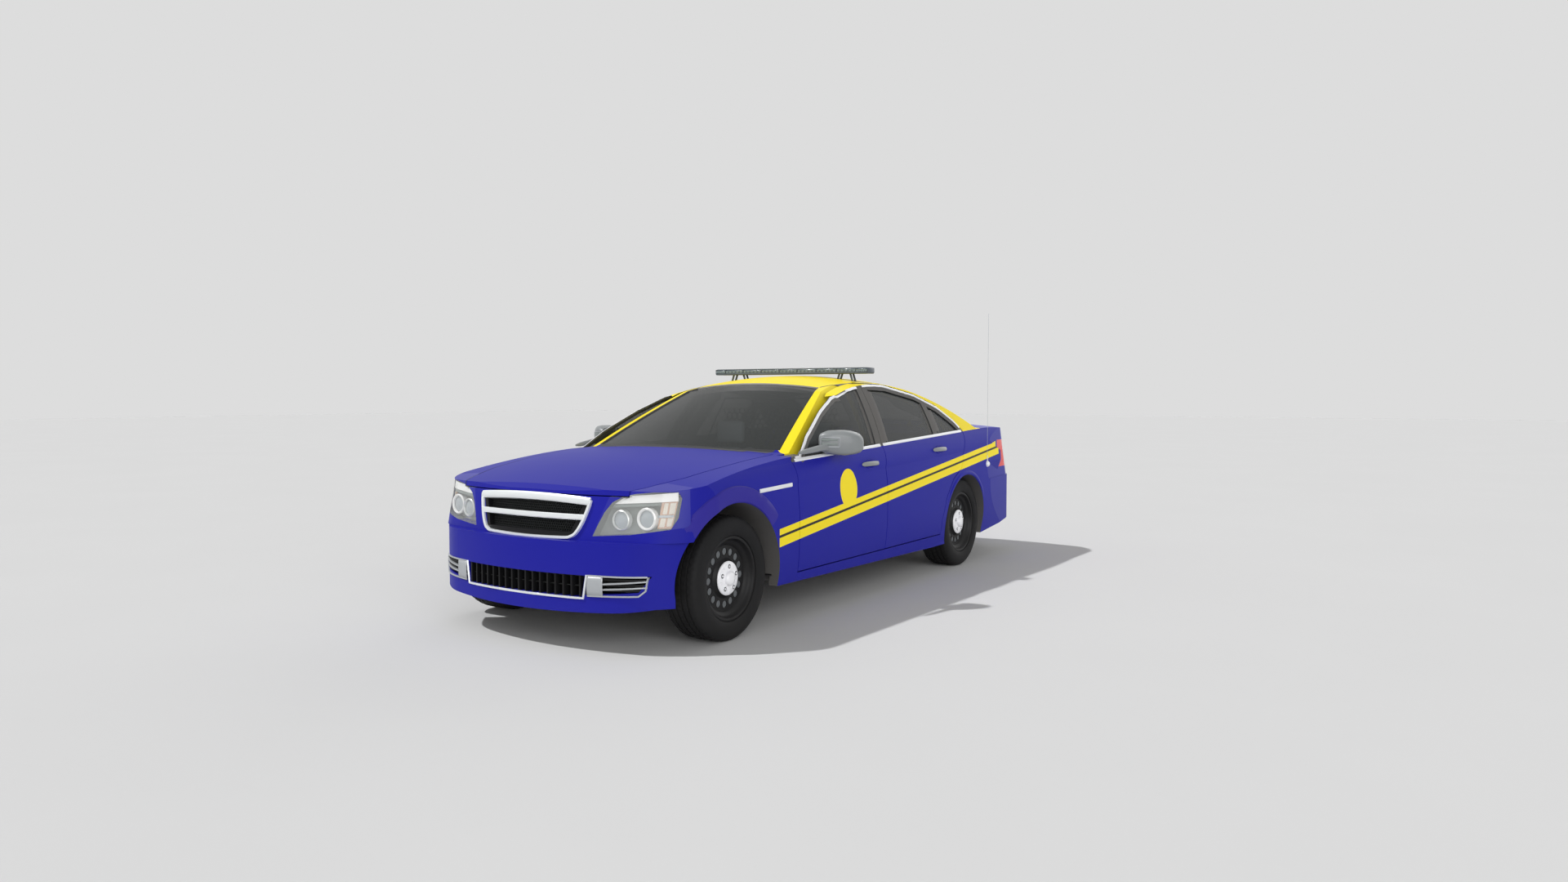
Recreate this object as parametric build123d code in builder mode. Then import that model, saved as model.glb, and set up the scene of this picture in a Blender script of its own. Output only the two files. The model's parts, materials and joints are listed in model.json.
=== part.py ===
"""A full-size police patrol car: a four-door saloon body of separate panels on four steel wheels.

Lengths are millimetres. +Z is up, the front faces -Y and +X is the car's left side. The origin is on the
ground under the middle of the body. Stations are measured back from the front axle, so that a station of
0 is the front axle and WHEELBASE is the rear one.
"""

import os
from math import asin, atan2, cos, degrees, hypot, radians, sin, tan

from build123d import *

# Driving dimensions
WHEELBASE = 3009.0
FRONT_OVERHANG = 670.0
REAR_OVERHANG = 1220.0
WHEEL_RADIUS = 334.0
TYRE_WIDTH = 226.0
WHEEL_CENTRE_X = 783.0
RIM_RADIUS = 232.0
PANEL = 50.0
SHUT_GAP = 7.0
GLASS = 5.0
GLASS_SETBACK = 9.0
PIN_RADIUS = 6.0
RUNNING_GAP = 0.3

# Sizes of the body's side section: half widths and heights at the reference station
SECTION_STATION = 1618.0
SECTION_RISE = 0.04
SILL_X, SILL_Z = 902.0, 190.0
WAIST_X, WAIST_Z = 932.0, 560.0
SHOULDER_X, SHOULDER_Z = 920.0, 820.0
BELT_X, BELT_Z = 882.0, 958.0
RAIL_X, RAIL_Z = 640.0, 1372.0
TUMBLE_BULGE = 14.0

# Crown radii of the lower body and of the glasshouse, across the car
LOWER_CROWN = 9000.0
UPPER_CROWN = 3270.0

# Wheel arches
FRONT_ARCH_RADIUS = 404.0
REAR_ARCH_RADIUS = 364.0
FRONT_WELL_X = 468.0
REAR_WELL_X = 630.0
LINER = 8.0
KINGPIN_X = 720.0

# Side shut lines: a door's cut is skewed in plan, so that its rear edge clears as it swings
DOOR_FRONT_S = 606.0
DOOR_MIDDLE_S = 1692.0
DOOR_SILL_Z = 292.0
DOOR_SKEW = 0.36
FENDER_FRONT_S = -400.0
REAR_BUMPER_S = 3470.0
BUMPER_SPLIT_Z = 566.0
REAR_SPLIT_Z = 640.0

# Reach of a cutting tool, larger than the car
FAR = 4000.0

# Plan curves of nose and tail: tip station, corner start and corner end, below and above the bumper's top
TIP = WHEELBASE + REAR_OVERHANG
NOSE = (-FRONT_OVERHANG, 550, 70 - FRONT_OVERHANG, 900, -200)
NOSE_ABOVE = (55 - FRONT_OVERHANG, 700, 160 - FRONT_OVERHANG, 900, -300)
NOSE_LEAN = 0.2
TAIL = (TIP, 668, TIP - 60, 882, TIP - 290)
TAIL_ABOVE = (TIP - 28, 668, TIP - 88, 882, TIP - 318)
TAIL_LEAN = 0.34

# Underside of the body in side view
FLOOR = [(-900, 165), (-480, 235), (399, 238), (2446, 205), (3300, 210), (4060, 285), (4500, 320)]

LENGTH = FRONT_OVERHANG + WHEELBASE + REAR_OVERHANG
FRONT_AXLE_Y = -LENGTH / 2 + FRONT_OVERHANG
REAR_AXLE_Y = FRONT_AXLE_Y + WHEELBASE


def at(station, height):
    """A point of the side view, from its station behind the front axle."""
    return (FRONT_AXLE_Y + station, height)


def plan(half_width, station):
    """A point of the plan view."""
    return (half_width, FRONT_AXLE_Y + station)


def side_prism(outline, low=-FAR, high=FAR):
    """A solid between two planes of X, from a closed side outline of (station, height) points."""
    with BuildPart() as prism:
        with BuildSketch(Plane.YZ.offset(low)):
            with BuildLine():
                Polyline(*[at(s, z) for s, z in outline], close=True)
            make_face()
        extrude(amount=high - low)
    return prism.part


def plan_prism(outline, low=-FAR, high=FAR):
    """A solid between two heights, from a closed plan outline of (half width, station) points."""
    with BuildPart() as prism:
        with BuildSketch(Plane.XY.offset(low)):
            with BuildLine():
                Polyline(*[plan(x, s) for x, s in outline], close=True)
            make_face()
        extrude(amount=high - low)
    return prism.part


def front_prism(outline, front, back):
    """A solid between two stations, from a closed front outline of (x, z) points."""
    with BuildPart() as prism:
        with BuildSketch(Plane.XZ.offset(-(FRONT_AXLE_Y + front))):
            with BuildLine():
                Polyline(*outline, close=True)
            make_face()
        extrude(amount=-(back - front))
    return prism.part


def both_sides(shape):
    """The shape and its mirror image across the car's middle plane."""
    with BuildPart() as pair:
        add(shape)
        mirror(about=Plane.YZ)
    return pair.part


def other_side(shape):
    """The mirror image of a shape across the car's middle plane."""
    return shape.mirror(Plane.YZ)


def crowned(profile, crown, inset):
    """A side profile swept round a long axis under the car, which crowns it across the car."""
    top = 1440.0 if crown == UPPER_CROWN else 985.0
    axis_z = top - crown
    half_sweep = degrees(asin(1100 / crown))
    start = Plane(origin=(0, 0, axis_z), x_dir=(0, 1, 0), z_dir=(1, 0, 0)).rotated((0, -half_sweep, 0))
    with BuildPart() as body:
        with BuildSketch(start):
            with BuildLine():
                profile(axis_z, inset)
            make_face()
        revolve(axis=Axis((0, 0, axis_z), (0, 1, 0)), revolution_arc=2 * half_sweep)
    return body.part


def lower_profile(axis_z, inset):
    """Bonnet, belt and deck line, closed well below the floor."""

    def top(s, z):
        return (FRONT_AXLE_Y + s, z - axis_z - inset)

    Polyline(top(-900, 700), (FRONT_AXLE_Y - 900, 60 - axis_z), (FRONT_AXLE_Y + 4500, 60 - axis_z),
             top(4500, 1030), top(4040, 1062))
    ThreePointArc(top(4040, 1062), top(3780, 1080), top(3500, 1086))
    Line(top(3500, 1086), top(600, 990))
    ThreePointArc(top(600, 990), top(0, 930), top(-515, 836))
    Polyline(top(-515, 836), top(-575, 804), top(-900, 700))


def upper_profile(axis_z, inset):
    """Windscreen, roof and rear window line, closed well below the belt."""

    def top(s, z):
        return (FRONT_AXLE_Y + s, z - axis_z - inset)

    Polyline(top(250, 840), (FRONT_AXLE_Y + 250, 600 - axis_z), (FRONT_AXLE_Y + 3700, 600 - axis_z),
             top(3700, 1010), top(3520, 1078))
    ThreePointArc(top(3520, 1078), top(3060, 1262), top(2560, 1393))
    ThreePointArc(top(2560, 1393), top(1950, 1441), top(1440, 1376))
    ThreePointArc(top(1440, 1376), top(1000, 1191), top(560, 986))
    Line(top(560, 986), top(250, 840))


def side_section(inset):
    """Everything inboard of the body sides: sill, waist, shoulder, belt and tumblehome."""
    z0 = -FAR * SECTION_RISE
    bulge_x = (BELT_X + RAIL_X) / 2 + TUMBLE_BULGE * 0.863
    bulge_z = (BELT_Z + RAIL_Z) / 2 + TUMBLE_BULGE * 0.505
    back_y = FRONT_AXLE_Y + SECTION_STATION - FAR
    with BuildPart() as half:
        with BuildSketch(Plane(origin=(0, back_y, z0), x_dir=(1, 0, 0), z_dir=(0, -1, 0))) as face:
            with BuildLine():
                Line((-1500, -400), (SILL_X - 20, -400))
                Line((SILL_X - 20, -400), (SILL_X, SILL_Z))
                ThreePointArc((SILL_X, SILL_Z), (SILL_X + 22, 360), (WAIST_X, WAIST_Z))
                ThreePointArc((WAIST_X, WAIST_Z), (WAIST_X - 1, 700), (SHOULDER_X, SHOULDER_Z))
                ThreePointArc((SHOULDER_X, SHOULDER_Z), (SHOULDER_X - 12, 905), (BELT_X, BELT_Z))
                ThreePointArc((BELT_X, BELT_Z), (bulge_x, bulge_z), (RAIL_X, RAIL_Z))
                Line((RAIL_X, RAIL_Z), (RAIL_X - 150, RAIL_Z + 170))
                Line((RAIL_X - 150, RAIL_Z + 170), (-1500, RAIL_Z + 170))
                Line((-1500, RAIL_Z + 170), (-1500, -400))
            make_face()
            if inset:
                offset(amount=-inset, kind=Kind.INTERSECTION)
        extrude(amount=2 * FAR, dir=(0, 1, SECTION_RISE))
    with BuildPart() as whole:
        add(half.part)
        add(other_side(half.part), mode=Mode.INTERSECT)
    return whole.part


def rounded_end(points, side, facing, lean, inset, low, high):
    """Everything behind a rounded end: two arcs and a straight flank, leaning inward with height.

    The points are the tip's station, the corner's start and the corner's end, as half widths and
    stations. Facing is 1 for the nose and -1 for the tail.
    """
    (s0, x1, s1, x2, s2) = points
    drop = facing * (s1 - s0)
    tip_radius = (x1**2 + drop**2) / (2 * drop)
    a1 = asin(x1 / tip_radius)
    a2 = 2 * atan2(facing * (s2 - s1), x2 - x1) - a1
    corner_radius = hypot(x2 - x1, s2 - s1) / (2 * sin((a2 - a1) / 2))
    corner_x = x1 - corner_radius * sin(a1)
    corner_s = s1 + facing * corner_radius * cos(a1)

    def tip(angle, side_sign):
        r = tip_radius - inset
        return plan(side_sign * r * sin(angle), s0 + facing * (tip_radius - r * cos(angle)))

    def corner(angle, side_sign):
        r = corner_radius - inset
        return plan(side_sign * (corner_x + r * sin(angle)), corner_s - facing * r * cos(angle))

    flank_x = side - inset
    reach = (flank_x - corner(a2, 1)[0]) * tan(a2)
    flank_y = corner(a2, 1)[1] + facing * reach
    far_y = facing * 6000
    with BuildPart() as limit:
        with BuildSketch(Plane.XY.offset(low)):
            with BuildLine():
                ThreePointArc(tip(a1, -1), tip(0, 1), tip(a1, 1))
                ThreePointArc(tip(a1, 1), corner((a1 + a2) / 2, 1), corner(a2, 1))
                Polyline(corner(a2, 1), (flank_x, flank_y), (flank_x, far_y), (-flank_x, far_y),
                         (-flank_x, flank_y), corner(a2, -1))
                ThreePointArc(corner(a2, -1), corner((a1 + a2) / 2, -1), tip(a1, -1))
            make_face()
        extrude(amount=high - low, dir=(0, facing * lean, 1))
    return limit.part


def envelope(inset):
    """The closed outer form of the body, set in all round by a distance."""
    split = BUMPER_SPLIT_Z
    with BuildPart() as nose:
        add(rounded_end(NOSE, 945, 1, 0, inset, 0, split - inset))
        add(rounded_end(NOSE_ABOVE, 945, 1, NOSE_LEAN, inset, split - inset, 1600))
    with BuildPart() as tail:
        add(rounded_end(TAIL, 960, -1, 0, inset, 0, REAR_SPLIT_Z - inset))
        add(rounded_end(TAIL_ABOVE, 960, -1, TAIL_LEAN, inset, REAR_SPLIT_Z - inset, 1600))
    with BuildPart() as lower:
        add(crowned(lower_profile, LOWER_CROWN, inset))
        add(side_prism([(s, z + inset) for s, z in FLOOR] + [(4500, 1600), (-900, 1600)]), mode=Mode.INTERSECT)
        add(nose.part, mode=Mode.INTERSECT)
        add(tail.part, mode=Mode.INTERSECT)
    with BuildPart() as body:
        add(crowned(upper_profile, UPPER_CROWN, inset))
        add(plan_prism([(-1000, 0), (1000, 0), (1000, 3700), (-1000, 3700)]), mode=Mode.INTERSECT)
        add(lower.part)
        add(side_section(inset), mode=Mode.INTERSECT)
    return body.part


def block(x0, x1, s0, s1, z0, z1):
    """A box from its limits in x, station and height."""
    with BuildPart() as box:
        with Locations(((x0 + x1) / 2, FRONT_AXLE_Y + (s0 + s1) / 2, (z0 + z1) / 2)):
            Box(x1 - x0, s1 - s0, z1 - z0)
    return box.part


def within(shape, limit):
    """The part of a shape inside a limit."""
    with BuildPart() as common:
        add(shape)
        add(limit, mode=Mode.INTERSECT)
    return common.part


def rod(radius, start, end):
    """A round bar between two points of (x, station, z)."""
    a = Vector(start[0], FRONT_AXLE_Y + start[1], start[2])
    b = Vector(end[0], FRONT_AXLE_Y + end[1], end[2])
    with BuildPart() as bar:
        with BuildSketch(Plane(origin=a, z_dir=b - a)):
            Circle(radius)
        extrude(amount=(b - a).length)
    return bar.part


def well(station, radius, low_x, high_x):
    """The round space over a wheel, left of the car's middle."""
    return rod(radius, (low_x, station, WHEEL_RADIUS), (high_x, station, WHEEL_RADIUS))


def skin_x(height):
    """Half width of the outer skin at a height, near enough to aim a skewed cut."""
    if height <= BELT_Z:
        return WAIST_X - 6
    return BELT_X - (height - BELT_Z) * (BELT_X - RAIL_X) / (RAIL_Z - BELT_Z)


def skewed_prism(outline, growth, skew):
    """A left-hand prism whose side outline slides rearward as it goes outward."""
    with BuildPart() as prism:
        with BuildSketch(Plane.YZ):
            with BuildLine():
                Polyline(*[at(s - skew * skin_x(z), z) for s, z in outline], close=True)
            make_face()
            if growth:
                offset(amount=growth, kind=Kind.INTERSECTION)
        extrude(amount=1200, dir=(1, skew, 0))
        add(block(0, 480, -700, 4300, 0, 1600), mode=Mode.SUBTRACT)
    return prism.part


# Side outlines at the skin, as (station, height)
FRONT_DOOR = [(606, 292), (606, 700), (622, 930), (864, 1096), (1138, 1239), (1372, 1330), (1570, 1366),
              (1764, 1382), (1824, 1382), (1714, 985), (1692, 830), (1692, 292)]
REAR_DOOR = [(1699, 292), (1699, 830), (1721, 985), (1831, 1382), (2129, 1373), (2499, 1307), (2755, 1219),
             (2929, 1119), (3030, 1030), (2995, 930), (2905, 757), (2760, 688), (2636, 553), (2582, 400),
             (2576, 292)]
FRONT_WINDOW = [(700, 940), (872, 1062), (1142, 1200), (1372, 1290), (1570, 1327), (1745, 1341), (1640, 978)]
REAR_WINDOW = [(1790, 985), (1888, 1340), (2124, 1332), (2486, 1268), (2560, 1243), (2535, 1018)]
QUARTER_WINDOW = [(2600, 1021), (2624, 1220), (2734, 1180), (2900, 1085), (2962, 1038)]

# Openings of the inner frame behind the doors, smaller than the doors by a landing all round
FRONT_APERTURE = [(700, 330), (700, 900), (900, 1040), (1150, 1190), (1372, 1282), (1560, 1316), (1735, 1330),
                  (1640, 985), (1620, 330)]
REAR_APERTURE = [(1770, 330), (1790, 985), (1892, 1330), (2124, 1322), (2480, 1258), (2740, 1168),
                 (2885, 1078), (2930, 1010), (2840, 800), (2560, 640), (2500, 330)]
FRAME_OUT = 80.0
FRAME_IN = 120.0

# Plan outlines as (half width, station), given for the left half
HOOD = [(0, -640), (520, -640), (640, -420), (716, -180), (742, 150), (748, 596), (450, 552), (0, 524)]
WINDSHIELD = [(0, 578), (420, 616), (716, 728), (506, 1526), (260, 1492), (0, 1482)]
BACK_WINDOW = [(0, 2650), (260, 2656), (500, 2690), (640, 3330), (600, 3420), (300, 3445), (0, 3450)]
ROOF = WINDSHIELD[:2:-1] + [(560, 1800), (560, 2400)] + BACK_WINDOW[2::-1]
TRUNK_FRONT_S = 3500.0
TRUNK_X = 620.0


def mirrored_plan(half):
    """A whole plan outline from its left half, which starts and ends on the middle."""
    return half + [(-x, s) for x, s in half[-2:0:-1]]


def plan_cut(half, growth, low, high):
    """A prism of a symmetric plan outline, grown by a distance."""
    with BuildPart() as prism:
        with BuildSketch(Plane.XY.offset(low)):
            with BuildLine():
                Polyline(*[plan(x, s) for x, s in mirrored_plan(half)], close=True)
            make_face()
            if growth:
                offset(amount=growth, kind=Kind.INTERSECTION)
        extrude(amount=high - low)
    return prism.part


# Openings of the front, as (x, z)
GRILLE = [(-394, 775), (-315, 578), (315, 578), (394, 775), (0, 792)]
INTAKE = [(-430, 398), (-412, 289), (412, 289), (430, 398)]
SIDE_VENT = [(448, 398), (430, 300), (700, 322), (752, 402)]
HEADLAMP = [(425, 590), (505, 806), (700, 852), (866, 838), (880, 644), (640, 606)]
TAIL_LAMP = [(632, 717), (632, 922), (930, 940), (940, 717)]

outer = envelope(0)
inner = envelope(PANEL)
with BuildPart() as shell_maker:
    add(outer)
    add(inner, mode=Mode.SUBTRACT)
shell = shell_maker.part
with BuildPart() as glass_maker:
    add(envelope(GLASS_SETBACK))
    add(envelope(GLASS_SETBACK + GLASS), mode=Mode.SUBTRACT)
glass_layer = glass_maker.part

os.makedirs("parts", exist_ok=True)


def put(part, label):
    """Writes one node's file."""
    part.label = label
    export_step(part, f"parts/{label}.step")


def put_pair(part, name):
    """Writes a left piece and its mirror image on the right."""
    put(part, f"{name}_left")
    put(other_side(part), f"{name}_right")


# Door hinges: upright pins on arms of the pillars, each in a pocket of its door
HINGE_X = 920.0
HINGE_HEIGHTS = ((460, 510), (640, 690))
FRONT_HINGE_S = 631.0
REAR_HINGE_S = 1724.0


def hinge_pins(station):
    """The pins and arms that carry a door."""
    with BuildPart() as pins:
        for low, high in HINGE_HEIGHTS:
            add(rod(PIN_RADIUS, (HINGE_X, station, low), (HINGE_X, station, high)))
            add(block(800, HINGE_X, station - PIN_RADIUS, station + PIN_RADIUS, low, high))
    return pins.part


def hinge_pockets(station):
    """The spaces that a door leaves round its pins, open towards the pillar it swings on."""
    reach = PIN_RADIUS + RUNNING_GAP
    with BuildPart() as pockets:
        for low, high in HINGE_HEIGHTS:
            bottom, top = low - RUNNING_GAP, high + RUNNING_GAP
            add(rod(reach, (HINGE_X, station, bottom), (HINGE_X, station, top)))
            add(block(700, HINGE_X, station - 80, station + reach, bottom, top))
            add(block(700, HINGE_X + reach, station - 80, station, bottom, top))
    return pockets.part


# Doors and their glass
for name, outline, windows, hinge_s in (
    ("front_door", FRONT_DOOR, [FRONT_WINDOW], FRONT_HINGE_S),
    ("rear_door", REAR_DOOR, [REAR_WINDOW, QUARTER_WINDOW], REAR_HINGE_S),
):
    with BuildPart() as door:
        add(outer)
        add(skewed_prism(outline, 0, DOOR_SKEW), mode=Mode.INTERSECT)
        add(side_section(PANEL), mode=Mode.SUBTRACT)
        for window in windows:
            add(side_prism(window, 400, 1200), mode=Mode.SUBTRACT)
        add(hinge_pockets(hinge_s), mode=Mode.SUBTRACT)
    put_pair(door.part, name)
    with BuildPart() as pane:
        for window in windows:
            add(side_prism(window, 400, 1200))
        add(side_section(GLASS_SETBACK), mode=Mode.INTERSECT)
        add(side_section(GLASS_SETBACK + GLASS), mode=Mode.SUBTRACT)
    put_pair(pane.part, name.replace("door", "glass"))

# Openings that the fixed body leaves for its moving panels
with BuildPart() as door_holes:
    add(skewed_prism(FRONT_DOOR, SHUT_GAP, DOOR_SKEW))
    add(skewed_prism(REAR_DOOR, SHUT_GAP, DOOR_SKEW))
with BuildPart() as door_space:
    add(door_holes.part)
    add(side_section(FRAME_OUT), mode=Mode.SUBTRACT)
door_spaces = both_sides(door_space.part)
hood_hole = plan_cut(HOOD, SHUT_GAP, 790, 1300)
hood_cut = plan_cut(HOOD, 0, 796, 1300)
trunk_hole = block(-TRUNK_X - SHUT_GAP, TRUNK_X + SHUT_GAP, TRUNK_FRONT_S - SHUT_GAP, 4600,
                   REAR_SPLIT_Z, 1300)
trunk_cut = block(-TRUNK_X, TRUNK_X, TRUNK_FRONT_S, 4600, REAR_SPLIT_Z + SHUT_GAP, 1300)
wells = both_sides(well(0, FRONT_ARCH_RADIUS, FRONT_WELL_X, 1200))
rear_wells = both_sides(well(WHEELBASE, REAR_ARCH_RADIUS, REAR_WELL_X, 1200))
lamp_cut = both_sides(front_prism(HEADLAMP, -900, -300))
tail_lamp_cut = both_sides(front_prism(TAIL_LAMP, 3700, 4500))
grille_cut = front_prism(GRILLE, -900, -380)
intake_cut = front_prism(INTAKE, -900, -420)
vent_cut = both_sides(front_prism(SIDE_VENT, -900, -420))

fender_zone = side_prism([(FENDER_FRONT_S, 0), (603, 0), (603, 700), (624, 930), (560, 1300),
                          (FENDER_FRONT_S, 1300)], 560, 1200)

# Hood and trunk lid
with BuildPart() as hood:
    add(shell)
    add(hood_cut, mode=Mode.INTERSECT)
    add(block(-2000, 2000, -2000, -561, 0, 1300), mode=Mode.SUBTRACT)
put(hood.part, "hood")
with BuildPart() as trunk_lid:
    add(shell)
    add(trunk_cut, mode=Mode.INTERSECT)
put(trunk_lid.part, "trunk_lid")

# Front and rear bumpers
front_region = block(-1200, 1200, -900, FENDER_FRONT_S, 0, 1300)
with BuildPart() as front_bumper:
    add(shell)
    add(front_region, mode=Mode.INTERSECT)
    for cut in (hood_hole, wells, lamp_cut, grille_cut, intake_cut, vent_cut):
        add(cut, mode=Mode.SUBTRACT)
put(front_bumper.part, "front_bumper")
rear_region = block(-1200, 1200, REAR_BUMPER_S, 4600, 0, REAR_SPLIT_Z)
trunk_floor_box = block(-800, 800, 3000, 4120, 0, 345)
with BuildPart() as rear_bumper:
    add(shell)
    add(rear_region, mode=Mode.INTERSECT)
    add(rear_wells, mode=Mode.SUBTRACT)
    add(trunk_floor_box, mode=Mode.SUBTRACT)
put(rear_bumper.part, "rear_bumper")

# Lamps
with BuildPart() as headlamps:
    add(shell)
    add(lamp_cut, mode=Mode.INTERSECT)
    add(hood_hole, mode=Mode.SUBTRACT)
put(headlamps.part, "headlamps")
with BuildPart() as tail_lamps:
    add(shell)
    add(tail_lamp_cut, mode=Mode.INTERSECT)
    add(trunk_hole, mode=Mode.SUBTRACT)
put(tail_lamps.part, "tail_lamps")

# Fenders
with BuildPart() as fender:
    add(shell)
    add(fender_zone, mode=Mode.INTERSECT)
    for cut in (hood_hole, wells, lamp_cut, door_spaces, block(0, 860, FENDER_FRONT_S, 640, 0, 330)):
        add(cut, mode=Mode.SUBTRACT)
put_pair(fender.part, "fender")

# Grilles
with BuildPart() as grille:
    with BuildSketch(Plane.XZ.offset(-FRONT_AXLE_Y + 700)):
        with BuildLine():
            Polyline(*GRILLE, close=True)
        make_face()
        offset(amount=-26, kind=Kind.INTERSECTION, mode=Mode.SUBTRACT)
        with Locations((0, 684)):
            Rectangle(900, 22)
        with BuildSketch(mode=Mode.INTERSECT):
            with BuildLine():
                Polyline(*GRILLE, close=True)
            make_face()
    extrude(amount=-340)
    add(shell, mode=Mode.INTERSECT)
put(grille.part, "grille")

LOWER_BARS = [-400 + 50 * k for k in range(17)]
VENT_SLATS = (326, 352, 378)
SLAT = 10.0
with BuildPart() as lower_grille:
    for x in LOWER_BARS:
        add(block(x - SLAT / 2, x + SLAT / 2, -900, -420, 200, 500))
    add(intake_cut, mode=Mode.INTERSECT)
    add(shell, mode=Mode.INTERSECT)
with BuildPart() as vent_slats:
    for z in VENT_SLATS:
        add(block(400, 800, -900, -420, z, z + SLAT))
    add(front_prism(SIDE_VENT, -900, -420), mode=Mode.INTERSECT)
    add(shell, mode=Mode.INTERSECT)
with BuildPart() as bars:
    add(lower_grille.part)
    add(both_sides(vent_slats.part))
put(bars.part, "lower_grille")

# Fixed glass and the roof panel
with BuildPart() as windshield:
    add(glass_layer)
    add(plan_cut(WINDSHIELD, 0, 900, 1600), mode=Mode.INTERSECT)
put(windshield.part, "windshield")
with BuildPart() as rear_window:
    add(glass_layer)
    add(plan_cut(BACK_WINDOW, 0, 900, 1600), mode=Mode.INTERSECT)
put(rear_window.part, "rear_window")
with BuildPart() as roof_panel:
    add(shell)
    add(plan_cut(ROOF, 0, 1200, 1600), mode=Mode.INTERSECT)
put(roof_panel.part, "roof_panel")

# Cowl, deck strip and floor are panels of their own, between the side frames
fender_space = both_sides(fender_zone)
cowl_zone = block(-690, 690, 430, 760, 700, 1300)
deck_zone = block(-TRUNK_X, TRUNK_X, 3400, TRUNK_FRONT_S, 900, 1300)
floor_zone = block(-770, 770, 430, 3440, 0, 300)
tail_floor_zone = block(-700, 700, 3440, 4600, 0, 345)

# Side frame: sill, pillars, roof rail and quarter, with the landing the doors close on and the wheel house
with BuildPart() as landing:
    add(inner)
    add(envelope(FRAME_IN), mode=Mode.SUBTRACT)
    add(block(0, 1200, 445, 3150, 0, 1600), mode=Mode.INTERSECT)
    add(front_prism([(800, 0), (1200, 0), (1200, 1600), (470, 1600), (470, 1010), (800, 935)], 0, 4000),
        mode=Mode.INTERSECT)
    add(side_prism(FRONT_APERTURE, 300, 1300), mode=Mode.SUBTRACT)
    add(side_prism(REAR_APERTURE, 300, 1300), mode=Mode.SUBTRACT)
with BuildPart() as rear_house:
    add(well(WHEELBASE, REAR_ARCH_RADIUS + LINER, REAR_WELL_X - LINER, 1200))
    add(inner, mode=Mode.INTERSECT)
with BuildPart() as side_frame:
    add(shell)
    add(block(0, 2000, 430, 4600, 0, 1600), mode=Mode.INTERSECT)
    add(landing.part)
    add(rear_house.part)
    for cut in (
        hood_hole,
        trunk_hole,
        plan_cut(WINDSHIELD, 0, 900, 1600),
        plan_cut(BACK_WINDOW, 0, 900, 1600),
        plan_cut(ROOF, 0, 1200, 1600),
        door_spaces,
        tail_lamp_cut,
        rear_wells,
        rod(50, (560, WHEELBASE, WHEEL_RADIUS), (700, WHEELBASE, WHEEL_RADIUS)),
        cowl_zone,
        deck_zone,
        floor_zone,
        tail_floor_zone,
        fender_space,
        rear_bumper.part,
    ):
        add(cut, mode=Mode.SUBTRACT)
    for s0, z0 in ((685, 222), (2255, 196)):
        add(block(815, 865, s0, s0 + 70, z0, 262))
    for hinge_s in (FRONT_HINGE_S, REAR_HINGE_S):
        add(hinge_pins(hinge_s))
put_pair(side_frame.part, "side_frame")
side_frames = both_sides(side_frame.part)

# Cross panels of the fixed body
rear_houses = both_sides(well(WHEELBASE, REAR_ARCH_RADIUS + LINER, REAR_WELL_X - LINER, 1200))
with BuildPart() as cowl:
    add(within(shell, cowl_zone))
    add(hood_hole, mode=Mode.SUBTRACT)
    add(plan_cut(WINDSHIELD, 0, 900, 1600), mode=Mode.SUBTRACT)
with BuildPart() as firewall:
    add(side_prism([(425, 200), (445, 200), (445, 850), (576, 850), (576, 866), (425, 866)]))
    add(inner, mode=Mode.INTERSECT)
    add(within(inner, block(-440, 440, 562, 576, 850, 1300)))
    add(cowl.part)
    for cut in (side_frames, floor_zone, both_sides(fender.part)):
        add(cut, mode=Mode.SUBTRACT)
put(firewall.part, "firewall")
with BuildPart() as rear_bulkhead:
    add(side_prism([(3130, 200), (3150, 200), (3150, 985), (3470, 985), (3470, 1300), (3455, 1300), (3455, 1000),
                    (3130, 1000)]))
    add(inner, mode=Mode.INTERSECT)
    add(within(shell, deck_zone))
    for cut in (trunk_hole, plan_cut(BACK_WINDOW, 0, 900, 1600), side_frames, floor_zone, rear_houses):
        add(cut, mode=Mode.SUBTRACT)
put(rear_bulkhead.part, "rear_bulkhead")
with BuildPart() as floor_pan:
    add(within(shell, floor_zone))
    add(within(shell, tail_floor_zone))
    for cut in (rear_house.part, other_side(rear_house.part), rear_wells, rear_bumper.part):
        add(cut, mode=Mode.SUBTRACT)
put(floor_pan.part, "floor_pan")
RAIL_INNER_X = 400.0
with BuildPart() as front_house:
    add(well(0, FRONT_ARCH_RADIUS + LINER, FRONT_WELL_X - LINER, 1200))
    add(well(0, FRONT_ARCH_RADIUS, FRONT_WELL_X, 1300), mode=Mode.SUBTRACT)
    add(inner, mode=Mode.INTERSECT)
    add(block(300, 1200, -900, 425, 300, 1300), mode=Mode.INTERSECT)
    add(block(RAIL_INNER_X, FRONT_WELL_X - LINER, -500, 425, 300, 360))
put(both_sides(front_house.part), "front_wheelhouses")

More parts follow.
